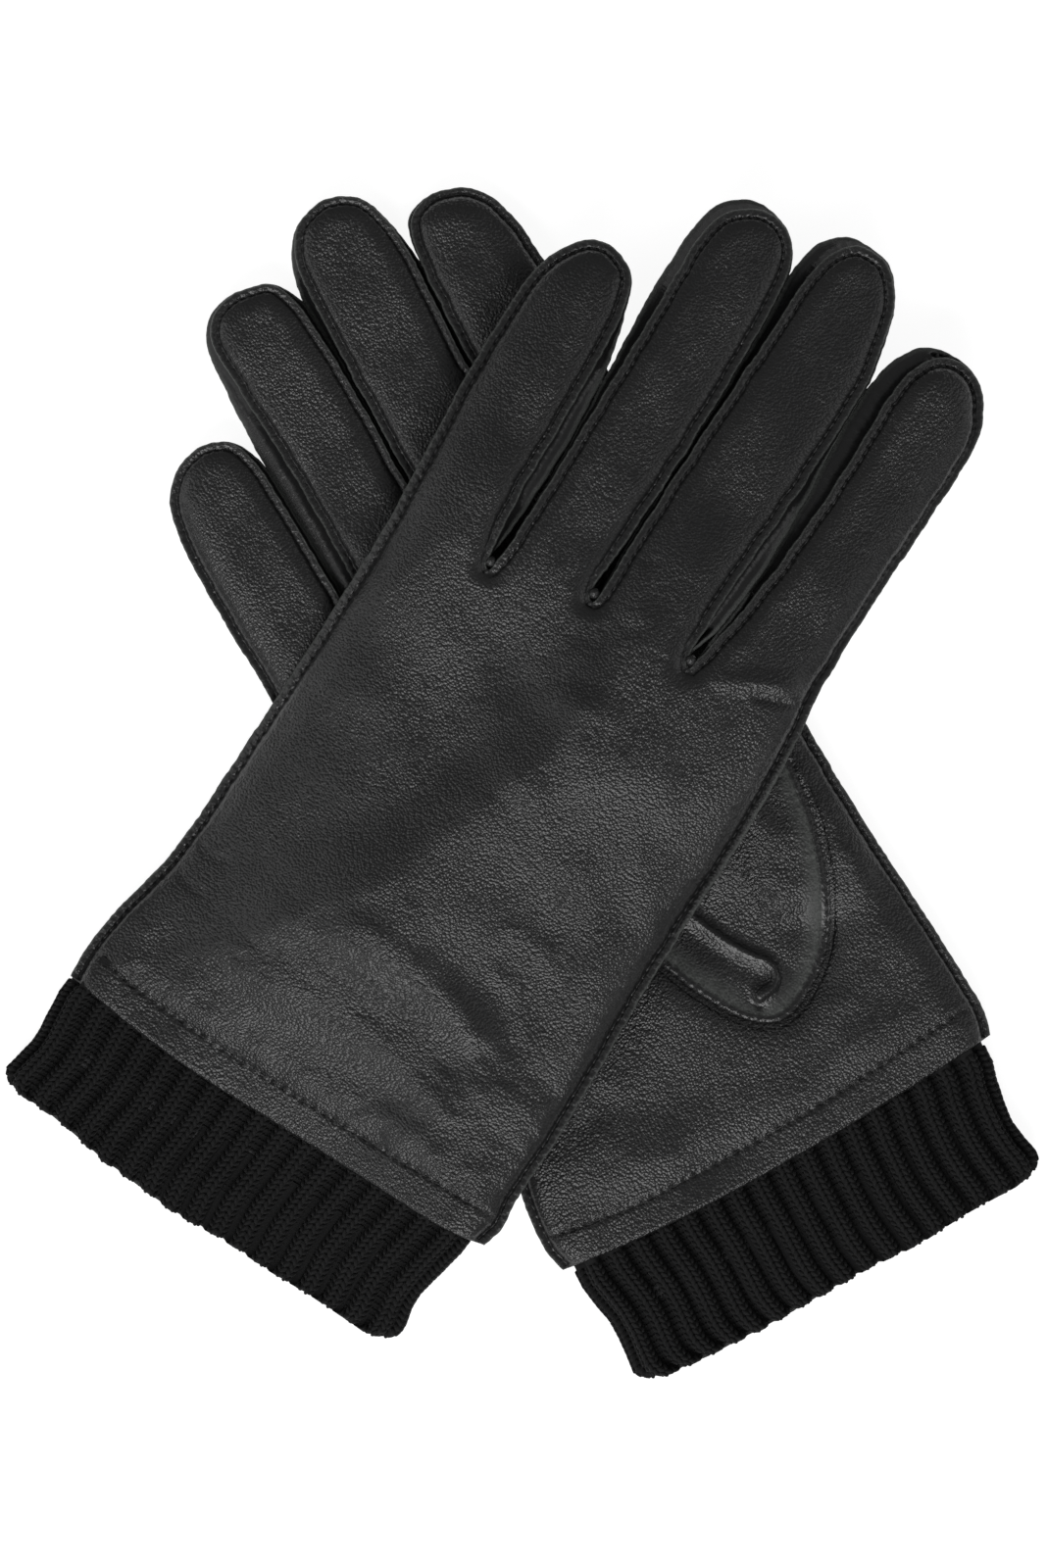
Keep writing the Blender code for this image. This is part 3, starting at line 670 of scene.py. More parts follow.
def split_lines(glove, line):
    """A line across each finger where its piece begins."""
    found = []
    for number, name in enumerate(FINGERS):
        level = split_at(glove, name)
        own = line[(glove["finger"] == number) & (line[:, 1] > level - 12) & (line[:, 1] < level + 12)]
        low, high = own[:, 0].min() - 0.5, own[:, 0].max() + 0.5
        found.append(np.column_stack([np.linspace(low, high, 24), np.full(24, level)]))
    return found


def attach(glove, obj, number, replaced=()):
    """Rides a piece on the hand; a finger's piece is only baked where it lies."""
    side = glove["side"]
    if replaced:
        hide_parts(*replaced)
    if number < 0:
        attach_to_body(obj, f"{side}_hand")
        return
    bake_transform(obj)


def build_sheet(glove, upper, material):
    """The upper or lower leather, cut into the hand and four fingers."""
    side = glove["side"]
    edge = glove["edge"] if upper else glove["lower_edge"]
    outline = np.vstack([edge, glove["hem_line"][1:-1]])
    rings = RINGS if upper else RINGS[1::4]
    lines = [offset_line(edge, distance) for distance in rings]
    if upper:
        lines += [offset_line(glove["hem_line"], distance) for distance in HEM_RINGS]
        row = line_through(glove["stitches"], 0.6)[5:-5]
        lines += [row + (0.0, gap) for gap in (-1.1, -0.45, 0.0, 0.45, 1.1)]
    lines += split_lines(glove, edge)
    step = FILL_STEP if upper else COARSE_STEP
    flat, faces = fill_outline(outline, lines, step, rings[-1] + 0.5 * step)
    facts = edge_facts(glove, flat[:, 0], flat[:, 1], upper)
    distance, place = facts[0], facts[-1]
    z = sheet_height(glove, flat[:, 0], flat[:, 1], facts, upper)
    points = to_frame(glove, np.column_stack([flat, z]))
    faces_down = point_normals(points, faces)[:, 2].mean() < 0
    if faces_down == upper:
        faces = faces[:, ::-1]
    normals = point_normals(points, faces)
    middle = flat[faces].mean(1)
    number = piece_of(glove, middle, place[faces[:, 0]])
    sheet = "palm" if upper == (glove is RIGHT) else "back"
    for piece in range(-1, len(FINGERS)):
        own = faces[number == piece]
        used, index = np.unique(own, return_inverse=True)
        part = "hand" if piece < 0 else FINGERS[piece]
        obj = mesh_piece(f"{side}_{part}_{sheet}_leather", points[used], index.reshape(-1, 3), material,
                         np.column_stack([flat, z])[used], normals[used])
        set_mask(obj, "edge", np.clip(1 - distance[used] / 0.35, 0, 1) * (distance[used] < 0.35))
        set_mask(obj, "taut", 1 - smoothstep((distance[used] - 2.0) / 4.5))
        node = f"{side}_{sheet}_panel" if piece < 0 else f"{side}_{part}_{sheet}"
        attach(glove, obj, piece, (node,))


def edge_heights(glove, line, upper):
    """Heights of a sheet at its own raw edge."""
    facts = (np.zeros(len(line)), glove["wall"], glove["seam"], glove["run"], glove["lift"], None)
    return sheet_height(glove, line[:, 0], line[:, 1], facts, upper)


def build_walls(glove, material):
    """The raw edges all round, and between them the side walls of the fingers."""
    side = glove["side"]
    top, low = glove["edge"], glove["lower_edge"]
    top_z, low_z = edge_heights(glove, top, True), edge_heights(glove, low, False)
    wall = smoothstep(glove["wall"] / 0.6)
    inward, low_inward = inward_normals(top), inward_normals(low)
    inset = (SEAM * glove["seam"] * wall)[:, None]
    gap = top_z - low_z
    drop = np.minimum(2 * LEATHER, 0.5 * gap)

    def ring(line, z):
        return np.column_stack([line, z])

    rings = [
        ring(top, top_z),
        ring(top - inward * 0.18, top_z - 0.3 * drop),
        ring(top - inward * 0.12, top_z - 0.7 * drop),
        ring(top, top_z - drop),
        ring(top + inward * inset * 0.5, top_z - drop - 0.04 * gap * wall),
        ring(0.5 * (top + low) - inward * inset * 0.12, 0.5 * (top_z + low_z)),
        ring(low + low_inward * inset * 0.5, low_z + drop + 0.04 * gap * wall),
        ring(low, low_z + drop),
        ring(low - low_inward * (0.12 + 0.16 * wall)[:, None], low_z + 0.5 * drop),
        ring(low, low_z),
    ]
    count = len(top)
    flat = np.concatenate(rings)
    points = to_frame(glove, flat)
    run = along(top)
    grain = [np.column_stack([run + 300, 2.0 * k + 0 * run, 0 * run]) for k in range(len(rings))]
    grain = np.concatenate(grain)
    number = piece_of(glove, 0.5 * (top[:-1] + top[1:]), np.arange(count - 1) + 0.5)
    for piece in range(-1, len(FINGERS)):
        own = np.flatnonzero(number == piece)
        faces = np.array(quads(range(len(rings) - 1), count, own))
        used, index = np.unique(faces, return_inverse=True)
        part = "hand" if piece < 0 else FINGERS[piece]
        name = f"{side}_{part}_side_walls"
        obj = mesh_piece(name, points[used], index.reshape(-1, 4), material, grain[used])
        row = used // count
        set_mask(obj, "edge", ((row <= 3) | (row >= 7)).astype(float))
        set_mask(obj, "taut", np.ones(len(row)))
        nodes = []
        if piece >= 0:
            nodes = [node for node in frame["nodes"] if node.startswith(f"{side}_{part}_fourchette")]
            nodes.append(f"{side}_{part}_lining")
        attach(glove, obj, piece, nodes)


# --- Stitches ---


def capsules(centres, directions, ups, length, width, around=6):
    """Short threads with round ends, as one mesh."""
    rings = ((-0.5, 0.35), (-0.36, 0.9), (0.0, 1.0), (0.36, 0.9), (0.5, 0.35))
    angles = np.arange(around) * math.tau / around
    sides = np.cross(directions, ups)
    sides /= np.linalg.norm(sides, axis=1)[:, None]
    ups = np.cross(sides, directions)
    points = []
    for share, size in rings:
        for angle in angles:
            out = (sides * math.cos(angle) + ups * math.sin(angle)) * (0.5 * width * size)
            points.append(centres + directions * (length * share) + out)
    points = np.stack(points, 1)
    per = points.shape[1]
    pattern = np.array(quads(range(len(rings) - 1), around, closed=True, flip=True))
    caps = [tuple(range(around)), tuple(range(per - 1, per - around - 1, -1))]
    faces = []
    for base in range(0, per * len(centres), per):
        faces += [tuple(face) for face in pattern + base]
        faces += [tuple(base + i for i in cap) for cap in caps]
    return points.reshape(-1, 3), faces


def stitch_piece(glove, name, line, z, pitch, number, material, nodes=()):
    run = along(line)
    at = np.arange(0.5 * pitch, run[-1], pitch)
    if not len(at):
        return
    path = (line[:, 0], line[:, 1], z)
    centre, ahead = (np.column_stack([np.interp(at + step, run, column) for column in path])
                     for step in (0, 0.4))
    direction = ahead - centre
    direction /= np.linalg.norm(direction, axis=1)[:, None] + 1e-9
    ups = np.tile([0.0, 0.0, 1.0], (len(at), 1))
    size = (0.72 * pitch * MM, 0.42 * MM)
    points, faces = capsules(to_frame(glove, centre), turned(glove, direction), ups, *size)
    obj = mesh_piece(name, points, faces, material)
    attach(glove, obj, number, nodes)


def build_stitches(glove, material):
    """The seam stitches of the upper sheet, and the row along the hem."""
    side = glove["side"]
    edge = glove["edge"]
    line = edge + inward_normals(edge) * (SEAM * glove["seam"])[:, None]
    kept = nearest(line, edge)[0] > 0.96 * SEAM * glove["seam"]
    line = line[kept]
    z = sheet_at(glove, line[:, 0], line[:, 1], True) - 0.02
    number = piece_of(glove, line, np.flatnonzero(kept))
    visible = glove["seam"][kept] > 0.7
    stops = np.flatnonzero((np.diff(number) != 0) | (np.diff(visible.astype(int)) != 0)) + 1
    for count, part in enumerate(np.split(np.arange(len(line)), stops)):
        if len(part) < 3 or not visible[part[0]]:
            continue
        piece = int(number[part[0]])
        name = f"{side}_{'hand' if piece < 0 else FINGERS[piece]}_seam_thread_{count}"
        stitch_piece(glove, name, line[part], z[part], STITCH, piece, material)
    row = line_through(glove["stitches"], 1.0)[3:-3]
    z = sheet_at(glove, row[:, 0], row[:, 1], True)
    stitch_piece(glove, f"{side}_hem_row_thread", row, z - 0.12, HEM_STITCH, -1, material,
                 (f"{side}_hem_thread",))


# --- Hem and cuff ---


def build_facing(glove, material):
    """The leather turned in at the hem, all round the mouth."""
    line = glove["hem_line"][2:-2]
    depths = (0.0, 0.6, 2.0, 5.0, 8.5)
    rings = []
    for upper in (True, False):
        path = line if upper else line[::-1]
        for depth in depths:
            x, y = path[:, 0], path[:, 1] + depth
            z = sheet_at(glove, path[:, 0], path[:, 1] + 1.6, upper)
            drop = 1.0 if depth == 0.0 else 1.5
            rings.append(np.column_stack([x, y, z - drop if upper else z + drop]))
    count = len(line)
    faces = quads((0, 1, 2, 3, 5, 6, 7, 8), count)
    flat = np.concatenate(rings)
    obj = mesh_piece(f"{glove['side']}_hem_turned_edge", to_frame(glove, flat), faces, material, flat)
    attach(glove, obj, -1, (f"{glove['side']}_hem_facing",))


def cuff_section(glove, place, y, inset=0.0, tuck=0.0):
    """A point of the flattened cuff, place going once round from 0 to 1, and its outward direction."""
    cuff = glove["cuff"]
    order = np.argsort(cuff["y"])
    levels = np.array(cuff["y"])[order]
    low = np.interp(y, levels, np.array(cuff["low"])[order]) + inset + tuck
    high = np.interp(y, levels, np.array(cuff["high"])[order]) - inset - tuck
    half = CUFF_HALF - inset
    straight = high - low - 2 * half
    around = 2 * straight + math.tau * half
    run = place * around
    upper = run < straight
    right = (run >= straight) & (run < straight + math.pi * half)
    lower = (run >= straight + math.pi * half) & (run < 2 * straight + math.pi * half)
    angle = np.where(right, (run - straight) / half, (run - 2 * straight - math.pi * half) / half + math.pi)
    across = np.where(upper, low + half + run, high - half - (run - straight - math.pi * half))
    bend = half * np.sin(angle)
    x = np.where(right, high - half + bend, np.where(upper | lower, across, low + half + bend))
    z = np.where(upper, half, np.where(lower, -half, half * np.cos(angle)))
    out_x = np.where(upper | lower, 0.0, np.sin(angle))
    out_z = np.where(upper, 1.0, np.where(lower, -1.0, np.cos(angle)))
    return x, z, out_x, out_z


def cuff_end(glove, x):
    line = np.array(glove["cuff_end"])
    return np.interp(x, line[:, 0], line[:, 1])


def rib_shape(phase):
    """0 in the furrow to 1 on the rib."""
    return smoothstep((np.cos(phase) + 0.75) / 1.0)


def cuff_surface(glove, place, depth, inset=0.0, proud=0.0):
    """Points of the ribbed cuff; depth runs from 0 inside the hem to 1 at the end."""
    x, _, _, _ = cuff_section(glove, place, np.full(np.shape(place), -20.0), inset)
    end = cuff_end(glove, x)
    shape = rib_shape(place * RIBS * math.tau)
    end = end - 0.35 * shape + 0.25 * waves(place * 60.0, 0 * place, 7.0, 31)
    y = 7.0 + (end - 7.0) * depth
    corner = np.clip((end + CUFF_ROUND - y) / CUFF_ROUND, 0.0, 0.97)
    tuck = CUFF_ROUND * (1 - np.sqrt(1 - corner * corner))
    x, z, out_x, out_z = cuff_section(glove, place, y, inset, tuck)
    amount = 2.0 * shape - 2.0 + proud + 0.12 * waves(place * 220.0, y, 12.0, 32)
    base = resting(glove, x, y) + 0.5 * glove["height"]
    return np.column_stack([x + out_x * amount, y, base + z + out_z * amount]), out_x, out_z


def build_cuff(glove, knit, inner):
    side = glove["side"]
    columns = RIBS * 12
    place = (np.arange(columns) + 0.5) / columns
    rows = [cuff_surface(glove, place, np.full(columns, depth))[0] for depth in np.linspace(0, 0.985, 56)]
    lip = [cuff_surface(glove, place, np.full(columns, depth), inset)[0]
           for depth, inset in ((1.0, 0.3), (1.005, 0.8), (0.99, 1.3), (0.95, 1.6), (0.8, 1.7), (0.5, 1.7))]
    rings = np.stack(rows + lip)
    count = len(rings)
    faces = quads(range(count - 1), columns, closed=True)
    flat = rings.reshape(-1, 3)
    obj = mesh_piece(f"{side}_cuff_ribs", to_frame(glove, flat), faces, knit)
    attach(glove, obj, -1, (f"{side}_knit_cuff",))
    build_cuff_yarn(glove, knit)
    build_lining(glove, inner)


def yarn_rows(glove, column, lean, proud):
    """Middles, directions and ups of one slanted leg on every rib and row of the cuff."""
    found = []
    for row in range(int(31.0 / ROW)):
        place = (np.arange(RIBS) + column) / RIBS % 1.0
        depth = np.full(RIBS, 0.985 - row * ROW / 40.0)
        depth = depth + 0.001 * waves(place * 90.0, 0 * place + row, 6.0, 33)
        here, out_x, out_z = cuff_surface(glove, place, depth, proud=proud)
        there, _, _ = cuff_surface(glove, (place + lean / RIBS) % 1.0, depth - 0.5 * ROW / 40.0, proud=proud)
        near = np.abs(there[:, 0] - here[:, 0]) < 3.0
        up = np.column_stack([out_x, 0 * out_x, out_z])
        found.append(np.stack([here[near], (there - here)[near], up[near]]))
    return np.concatenate(found, axis=1)


def build_cuff_yarn(glove, knit):
    """The slanted legs of two columns of stitches on every rib, and the low bumps in the furrows."""
    legs = [yarn_rows(glove, column + 0.088 * lean, 0.055 * lean, 0.16)
            for column in (-0.19, 0.19) for lean in (-1, 1)]
    bumps = [yarn_rows(glove, column, 0.3, -0.1) for column in (0.43, 0.57)]
    for name, rows, length, width in (("yarn", legs, 1.9, 0.98), ("purl", bumps, 1.0, 0.8)):
        centre, *ways = np.concatenate(rows, axis=1)
        ways = [turned(glove, way / np.linalg.norm(way, axis=1)[:, None]) for way in ways]
        points, faces = capsules(to_frame(glove, centre), *ways, length * MM, width * MM)
        obj = mesh_piece(f"{glove['side']}_cuff_{name}", points, faces, knit)
        attach(glove, obj, -1)


def build_lining(glove, material):
    """The lining seen through the mouth of the cuff, closed a little way in."""
    columns = 120
    place = (np.arange(columns) + 0.5) / columns
    rings = []
    for depth, inset in ((0.62, 2.0), (0.45, 2.2), (0.25, 2.3), (0.1, 2.4), (0.0, 2.6)):
        y = np.full(columns, 7.0 - 38.0 * depth)
        x, z, _, _ = cuff_section(glove, place, y, inset)
        rings.append(np.column_stack([x, y, resting(glove, x, y) + 0.5 * glove["height"] + z]))
    flat = np.concatenate(rings)
    faces = quads(range(len(rings) - 1), columns, closed=True, flip=True)
    obj = mesh_piece(f"{glove['side']}_wrist_lining", to_frame(glove, flat), faces, material)
    attach(glove, obj, -1, (f"{glove['side']}_hand_lining",))


# --- Thumbs ---


def thumb_outline(glove):
    """The seam round the root, then up the far side, round the tip and back."""
    (ax, ay), (bx, by) = glove["thumb_axis"]
    axis = np.array([bx - ax, by - ay])
    axis = axis / np.linalg.norm(axis)
    across = np.array([axis[1], -axis[0]])
    tip = np.array([bx, by])
    turns = np.linspace(math.pi, 0, 7)
    cap = [tuple(tip + 11.4 * (across * math.cos(a) + axis * math.sin(a))) for a in turns]
    left = [tuple(tip - across * 12.0 - axis * 16.0)]
    right = [tuple(tip + across * 12.2 - axis * 16.0)]
    middle = [tuple(0.5 * (np.array(THUMB_SEAM[-1]) + np.array(left[0])) - across * 0.5)]
    points = list(THUMB_SEAM) + middle + left + cap + right + [THUMB_SEAM[0]]
    return line_through(points, EDGE_STEP)[:-1]


def thumb_body(glove, x, y, distance, run):
    """The thumb's height over the sheet it lies on."""
    away, _, _ = nearest(np.column_stack([x, y]), np.array(glove["thumb_axis"]))
    inside = distance - 1.7
    crown = smoothstep((y - 54.0) / 32.0) * smoothstep(1.4 - away / 12.0)
    body = 0.7 + 4.8 * crown * smoothstep(inside / 10.0)
    calm = smoothstep(inside / 2.0)
    for fold in THUMB_FOLDS:
        body += fold_height(x, y, *fold) * calm
    body += waves(x, y, 13.0, 44) * 0.12 * calm
    return body - seam_dip(inside, 1.0, run)


def thumb_level(glove, x, y):
    """The palm's surface under the thumb, and which way the thumb stands off it."""
    if glove is RIGHT:
        return sheet_at(glove, x, y, True) + 0.15, 1.0
    return underside(glove, x, y) - 0.15, -1.0


def build_thumb(glove, leather, thread):
    side = glove["side"]
    outline = thumb_outline(glove)[::-1]
    closed = np.vstack([outline, outline[:1]])
    lines = []
    for distance in RINGS[:8]:
        moved = outline + inward_normals(closed)[:-1] * distance
        moved = moved[nearest(moved, closed)[0] > 0.96 * distance]
        lines.append(np.vstack([moved, moved[:1]]))
    crest = line_through(THUMB_FOLDS[0][0], 0.5)
    lines += [crest + inward_normals(crest) * gap for gap in (0.0, -0.5, -1.0, -1.6, 0.5, 1.0, 1.6)]
    flat, faces = fill_outline(outline, lines, FILL_STEP, 4.2)
    x, y = flat[:, 0], flat[:, 1]
    distance, place, _ = nearest(flat, closed)
    run = np.interp(place, np.arange(len(closed)), along(closed))
    level, up = thumb_level(glove, x, y)
    z = level + up * thumb_body(glove, x, y, distance, run)
    if glove is LEFT:
        z = np.maximum(z, PALM_HEIGHT + 0.6)
    points = to_frame(glove, np.column_stack([x, y, z]))
    if point_normals(points, faces)[:, 2].mean() * up < 0:
        faces = faces[:, ::-1]

    def attach_thumb(obj, slot, nodes=()):
        if nodes:
            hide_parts(*nodes)
        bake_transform(obj)

    top = mesh_piece(f"{side}_thumb_leather", points, faces, leather, np.column_stack([x, y, z]))
    set_mask(top, "edge", np.clip(1 - distance / 0.35, 0, 1) * (distance < 0.35))
    pulled = np.exp(-((nearest(flat, crest)[0] / 2.2) ** 2))
    set_mask(top, "taut", np.maximum(pulled, 1 - smoothstep((distance - 1.0) / 1.2)))
    attach_thumb(top, "leather", (f"{side}_thumb", f"{side}_thumb_lining"))
    build_thumb_edge(glove, closed, leather, attach_thumb)
    line = offset_line(closed, 1.7)
    level, up = thumb_level(glove, line[:, 0], line[:, 1])
    z = level + up * (thumb_body(glove, line[:, 0], line[:, 1], np.full(len(line), 1.7), along(line)) - 0.12)
    at = np.arange(0, along(line)[-1], STITCH)
    centre = np.column_stack([np.interp(at, along(line), column) for column in (line[:, 0], line[:, 1], z)])
    centre = to_frame(glove, centre)
    direction = np.roll(centre, -1, axis=0) - centre
    direction /= np.linalg.norm(direction, axis=1)[:, None] + 1e-12
    ups = np.tile([0.0, 0.0, 1.0], (len(at), 1))
    points, faces = capsules(centre, direction, ups, 0.6 * STITCH * MM, 0.36 * MM)
    attach_thumb(mesh_piece(f"{side}_thumb_seam_thread", points, faces, thread), "thread")


def build_thumb_edge(glove, line, material, attach_thumb):
    """The thumb's raw edge standing on the palm, and the palm's own edge just outside it."""
    normal = inward_normals(line)
    run = along(line)
    rough = 0.08 * np.cos(math.tau * run / STITCH) + 0.05 * waves(run, 0 * run, 2.0, 51)
    rings = []
    section = ((0.0, 1.0), (-0.14, 0.75), (-0.12, 0.3), (0.0, -0.6), (-0.5, -0.6), (-0.62, 0.25),
               (-0.8, 0.42), (-1.0, 0.3), (-1.15, -0.6))
    for across, rise in section:
        place = line + normal * (across + rough * (across < -0.3))[:, None]
        level, up = thumb_level(glove, place[:, 0], place[:, 1])
        rings.append(np.column_stack([place, level + up * (rise - 0.1)]))
    count = len(line)
    flat = np.concatenate(rings)
    faces = quads(range(len(section) - 1), count)
    grain = np.concatenate([np.column_stack([run, across + 0 * run, 0 * run]) for across, _ in section])
    obj = mesh_piece(f"{glove['side']}_thumb_root_seam", to_frame(glove, flat), faces, material, grain)
    mask = np.concatenate([np.full(count, 0.3 * (rise > 0.2)) for _, rise in section])
    set_mask(obj, "edge", mask)
    attach_thumb(obj, "leather", (f"{glove['side']}_thumb_gusset",))


# --- Crotches ---


def ellipsoid(name, centre, radii, material):
    """A small rounded lump at a place in the frame, in metres."""
    around, up = 16, 9
    theta = np.linspace(0, math.tau, around, endpoint=False)
    phi = np.linspace(-math.pi / 2, math.pi / 2, up)
    points = [(math.cos(p) * math.cos(t), math.cos(p) * math.sin(t), math.sin(p)) for p in phi for t in theta]
    faces = quads(range(up - 1), around, closed=True)
    return mesh_piece(name, centre + np.array(points) * radii, faces, material, np.array(points) * 2)


def build_crotches(glove, leather, thread):
    """The little gusset at the foot of each pair of fingers, and the knot that ends the seams."""
    for number, (x, y) in enumerate(glove["crotches"]):
        z = float(sheet_at(glove, np.array([x]), np.array([y - 1.0]), True)[0])
        quirk = ellipsoid(f"{glove['side']}_quirk_{number}", frame_point(glove, x - 0.5, y + 2.3, z - 0.9),
                          np.array([0.0013, 0.0013, 0.0012]), leather)
        set_mask(quirk, "edge", np.full(len(quirk.data.vertices), 0.1))
        attach(glove, quirk, -1)
        knot = ellipsoid(f"{glove['side']}_knot_{number}", frame_point(glove, x + 0.1, y - 0.1, z - 0.35),
                         np.array([0.0006, 0.0005, 0.0004]), thread)
        attach(glove, knot, -1)


# --- Materials ---


def node(tree, kind, inputs=(), **settings):
    made = tree.nodes.new("ShaderNode" + kind)
    for key, value in settings.items():
        setattr(made, key, value)
    for key, value in dict(inputs).items():
        if isinstance(value, bpy.types.NodeSocket):
            tree.links.new(value, made.inputs[key])
        else:
            made.inputs[key].default_value = value
    return made


def attribute(tree, name, output="Fac"):
    return node(tree, "Attribute", attribute_name=name).outputs[output]


def noise(tree, place, scale, detail, roughness=0.5):
    return node(tree, "TexNoise", {"Vector": place, "Scale": scale, "Detail": detail, "Roughness": roughness})


def ramp(tree, value, low, dark, high, light):
    """One colour up to low, another from high on, and a blend between them."""
    made = node(tree, "ValToRGB", {"Fac": value})
    for element, position, colour in zip(made.color_ramp.elements, (low, high), (dark, light)):
        element.position = position
        element.color = (*colour, 1.0)
    return made.outputs["Color"]


def ranged(tree, value, low, high, first, last):
    spans = {"Value": value, "From Min": low, "From Max": high, "To Min": first, "To Max": last}
    return node(tree, "MapRange", spans).outputs[0]


def math_node(tree, operation, *values):
    return node(tree, "Math", dict(enumerate(values)), operation=operation).outputs[0]


def add_bump(tree, shader, height, distance, strength):
    bump = node(tree, "Bump", {"Height": height, "Distance": distance, "Strength": strength})
    tree.links.new(bump.outputs["Normal"], shader.inputs["Normal"])


def new_material(name, colour, roughness, sheen=0.0):
    material = bpy.data.materials.new(name)
    material.use_nodes = True
    shader = material.node_tree.nodes["Principled BSDF"]
    shader.inputs["Base Color"].default_value = (*colour, 1.0)
    shader.inputs["Roughness"].default_value = roughness
    shader.inputs["Sheen Weight"].default_value = sheen
    return material, material.node_tree, shader


def leather_material(name, strength=1.0):
    """Black nappa: fine pebbles, deeper in some patches than in others, and paler at a cut edge."""
    material, tree, shader = new_material(name, (0.009, 0.009, 0.0095), 0.36)
    place = attribute(tree, "grain", "Vector")
    warp = noise(tree, place, 0.3, 2.0).outputs["Color"]
    bent = node(tree, "VectorMath", {0: warp, 1: (0.5, 0.5, 0.5)}, operation="MULTIPLY").outputs["Vector"]
    moved = node(tree, "VectorMath", {0: place, 1: bent}, operation="ADD").outputs["Vector"]
    cells = node(tree, "TexVoronoi", {"Vector": moved, "Scale": 1.6}, feature="F1").outputs["Distance"]
    fine = math_node(tree, "MULTIPLY", noise(tree, moved, 2.6, 3.0, 0.6).outputs["Fac"], 0.3)
    height = math_node(tree, "SUBTRACT", fine, cells)
    patches = noise(tree, place, 0.05, 3.0).outputs["Fac"]
    loose = math_node(tree, "MULTIPLY_ADD", attribute(tree, "taut"), -0.6, 1.0)
    amount = ranged(tree, patches, 0.35, 0.65, 0.6 * strength, 1.0 * strength)
    add_bump(tree, shader, height, 0.00029, math_node(tree, "MULTIPLY", amount, loose))
    edge = attribute(tree, "edge")
    skin = ramp(tree, patches, 0.3, (0.0075, 0.0077, 0.008), 0.7, (0.0105, 0.0104, 0.0105))
    fuzz = noise(tree, place, 1.8, 2.0).outputs["Fac"]
    raw = ramp(tree, fuzz, 0.35, (0.022, 0.024, 0.0225), 0.65, (0.06, 0.064, 0.06))
    colour = node(tree, "Mix", {"Factor": edge, 6: skin, 7: raw}, data_type="RGBA")
    tree.links.new(colour.outputs[2], shader.inputs["Base Color"])
    gloss = ranged(tree, patches, 0.3, 0.7, 0.33, 0.27)
    tree.links.new(math_node(tree, "MULTIPLY_ADD", edge, 0.45, gloss), shader.inputs["Roughness"])
    return material


def fibre_material(name, colour, roughness, sheen, scale, detail, fine, low, dark, high, light, bump):
    """A knit or pile: soft fibres with a slight bump, lighter where they catch the light."""
    material, tree, shader = new_material(name, colour, roughness, sheen)
    place = node(tree, "TexCoord").outputs["Object"]
    fibre = noise(tree, place, scale, detail, fine).outputs["Fac"]
    tree.links.new(ramp(tree, fibre, low, dark, high, light), shader.inputs["Base Color"])
    add_bump(tree, shader, fibre, *bump)
    return material, shader


def knit_material():
    material, shader = fibre_material(
        "black_rib_knit", (0.006, 0.006, 0.0065), 0.8, 0.03, 2600.0, 3.0, 0.7,
        0.3, (0.004, 0.004, 0.0042), 0.75, (0.0095, 0.0096, 0.0098), (0.00025, 0.6))
    shader.inputs["Specular IOR Level"].default_value = 0.2
    shader.inputs["Sheen Roughness"].default_value = 0.5
    return material


def lining_material():
    material, _ = fibre_material(
        "grey_lining_knit", (0.02, 0.02, 0.021), 0.95, 0.2, 1400.0, 4.0, 0.5,
        0.3, (0.012, 0.012, 0.013), 0.7, (0.035, 0.035, 0.036), (0.0005, 0.8))
    return material


def thread_material():
    material, tree, shader = new_material("black_thread", (0.010, 0.010, 0.0105), 0.5, 0.1)
    place = node(tree, "TexCoord").outputs["Object"]
    twist = node(tree, "TexWave", {"Vector": place, "Scale": 1500.0, "Distortion": 2.0},
                 bands_direction="DIAGONAL")
    add_bump(tree, shader, twist.outputs["Fac"], 0.0001, 0.5)
    return material


# --- Studio ---


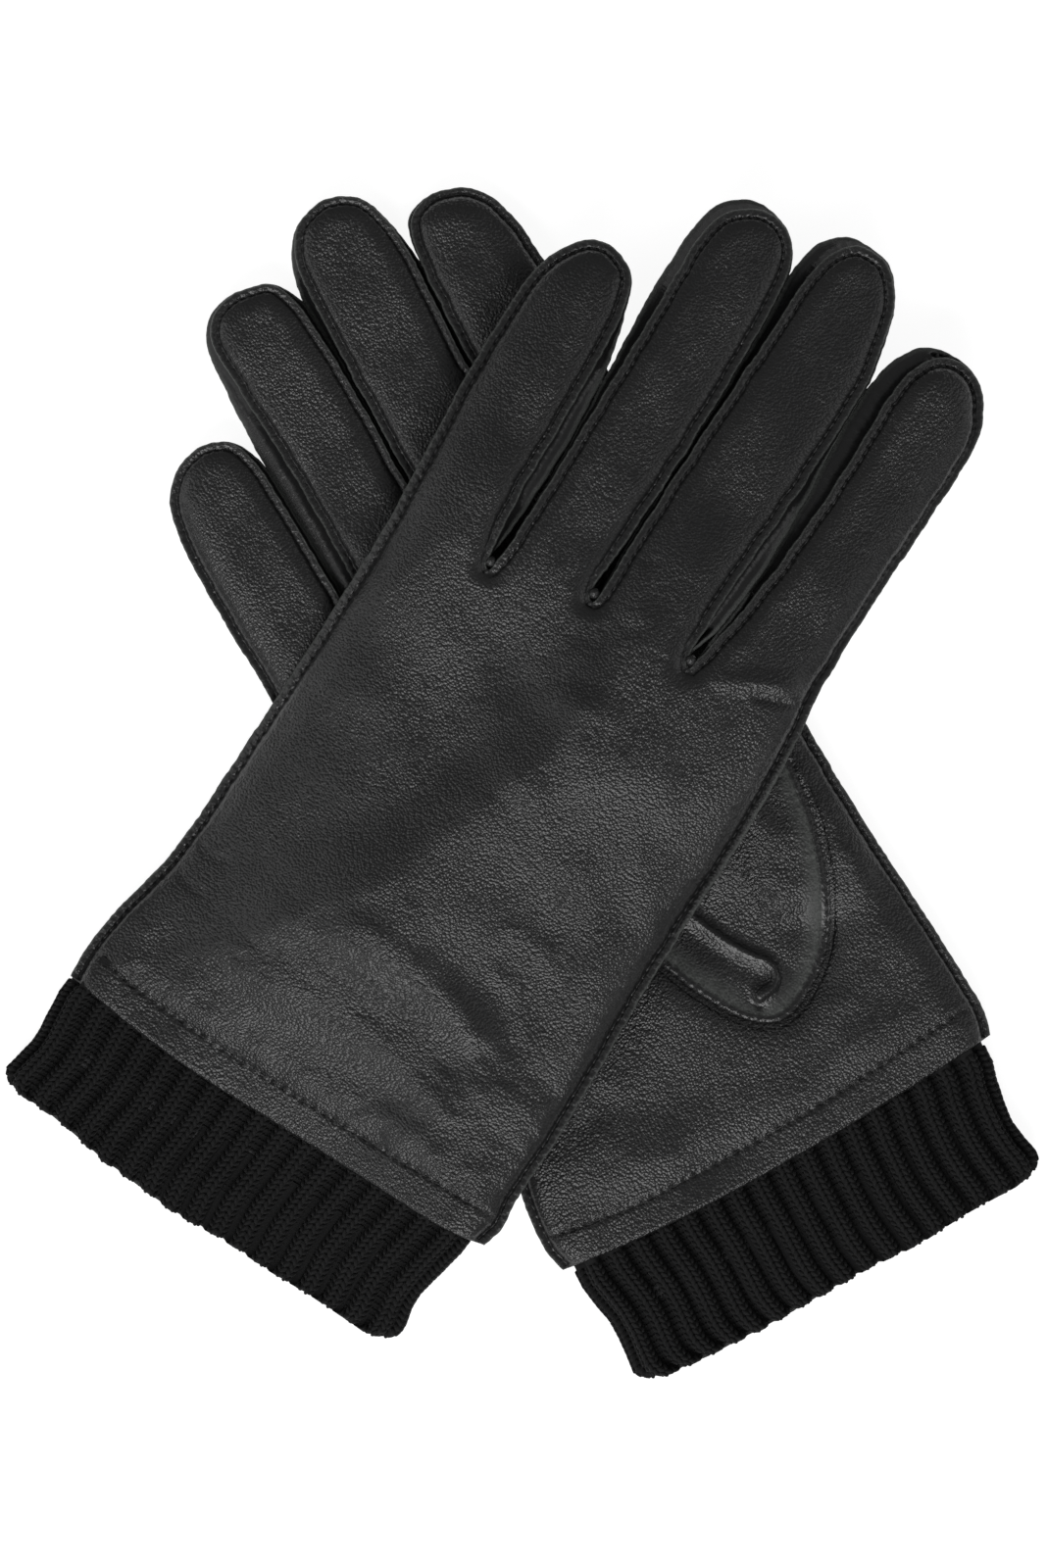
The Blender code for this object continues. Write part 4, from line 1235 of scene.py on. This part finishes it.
def area_light(name, position, size, energy):
    data = bpy.data.lights.new(name, "AREA")
    data.shape = "RECTANGLE"
    data.size, data.size_y = size
    data.energy = energy
    lamp = bpy.data.objects.new(name, data)
    lamp.location = position
    lamp.rotation_euler = (-Vector(position)).to_track_quat("-Z", "Y").to_euler()
    bpy.context.scene.collection.objects.link(lamp)


def build_studio():
    scene = bpy.context.scene
    scene.view_settings.view_transform = "Standard"
    floor, _, shader = new_material("white_floor", (0.3, 0.3, 0.3), 0.95)
    shader.inputs["Emission Color"].default_value = (1.0, 1.0, 1.0, 1.0)
    shader.inputs["Emission Strength"].default_value = 0.9
    half = 4.0
    corners = np.array([(-half, -half, 0.0), (half, -half, 0.0), (half, half, 0.0), (-half, half, 0.0)])
    stage = mesh_piece("floor", corners, [(0, 1, 2, 3)], floor)
    world = bpy.data.worlds.new("studio")
    world.use_nodes = True
    background = world.node_tree.nodes["Background"]
    background.inputs["Color"].default_value = (1.0, 1.0, 1.0, 1.0)
    background.inputs["Strength"].default_value = 0.2
    scene.world = world
    area_light("key", (-0.25, -1.2, 1.15), (1.5, 0.9), 24.0)
    area_light("fill_left", (-1.4, 0.1, 1.0), (0.8, 1.4), 5.0)
    area_light("fill_right", (1.4, 0.1, 1.0), (0.8, 1.4), 3.0)


def build_camera():
    data = bpy.data.cameras.new("camera")
    distance = 2.2
    tall = 0.35208
    data.lens = data.sensor_width * distance / tall
    camera = bpy.data.objects.new("camera", data)
    camera.location = (0.00017, -0.00075, 0.012 + distance)
    bpy.context.scene.collection.objects.link(camera)
    bpy.context.scene.camera = camera


# --- Everything ---


def main():
    leather = leather_material("black_leather")
    calm = leather_material("black_leather_walls", 0.5)
    knit, lining, thread = knit_material(), lining_material(), thread_material()
    for glove in (RIGHT, LEFT):
        build_outlines(glove)
        build_sheet(glove, True, leather)
        build_sheet(glove, False, leather)
        build_walls(glove, calm)
        build_stitches(glove, thread)
        build_facing(glove, leather)
        build_cuff(glove, knit, lining)
        build_thumb(glove, leather, thread)
        build_crotches(glove, calm, thread)
    build_studio()
    build_camera()


main()
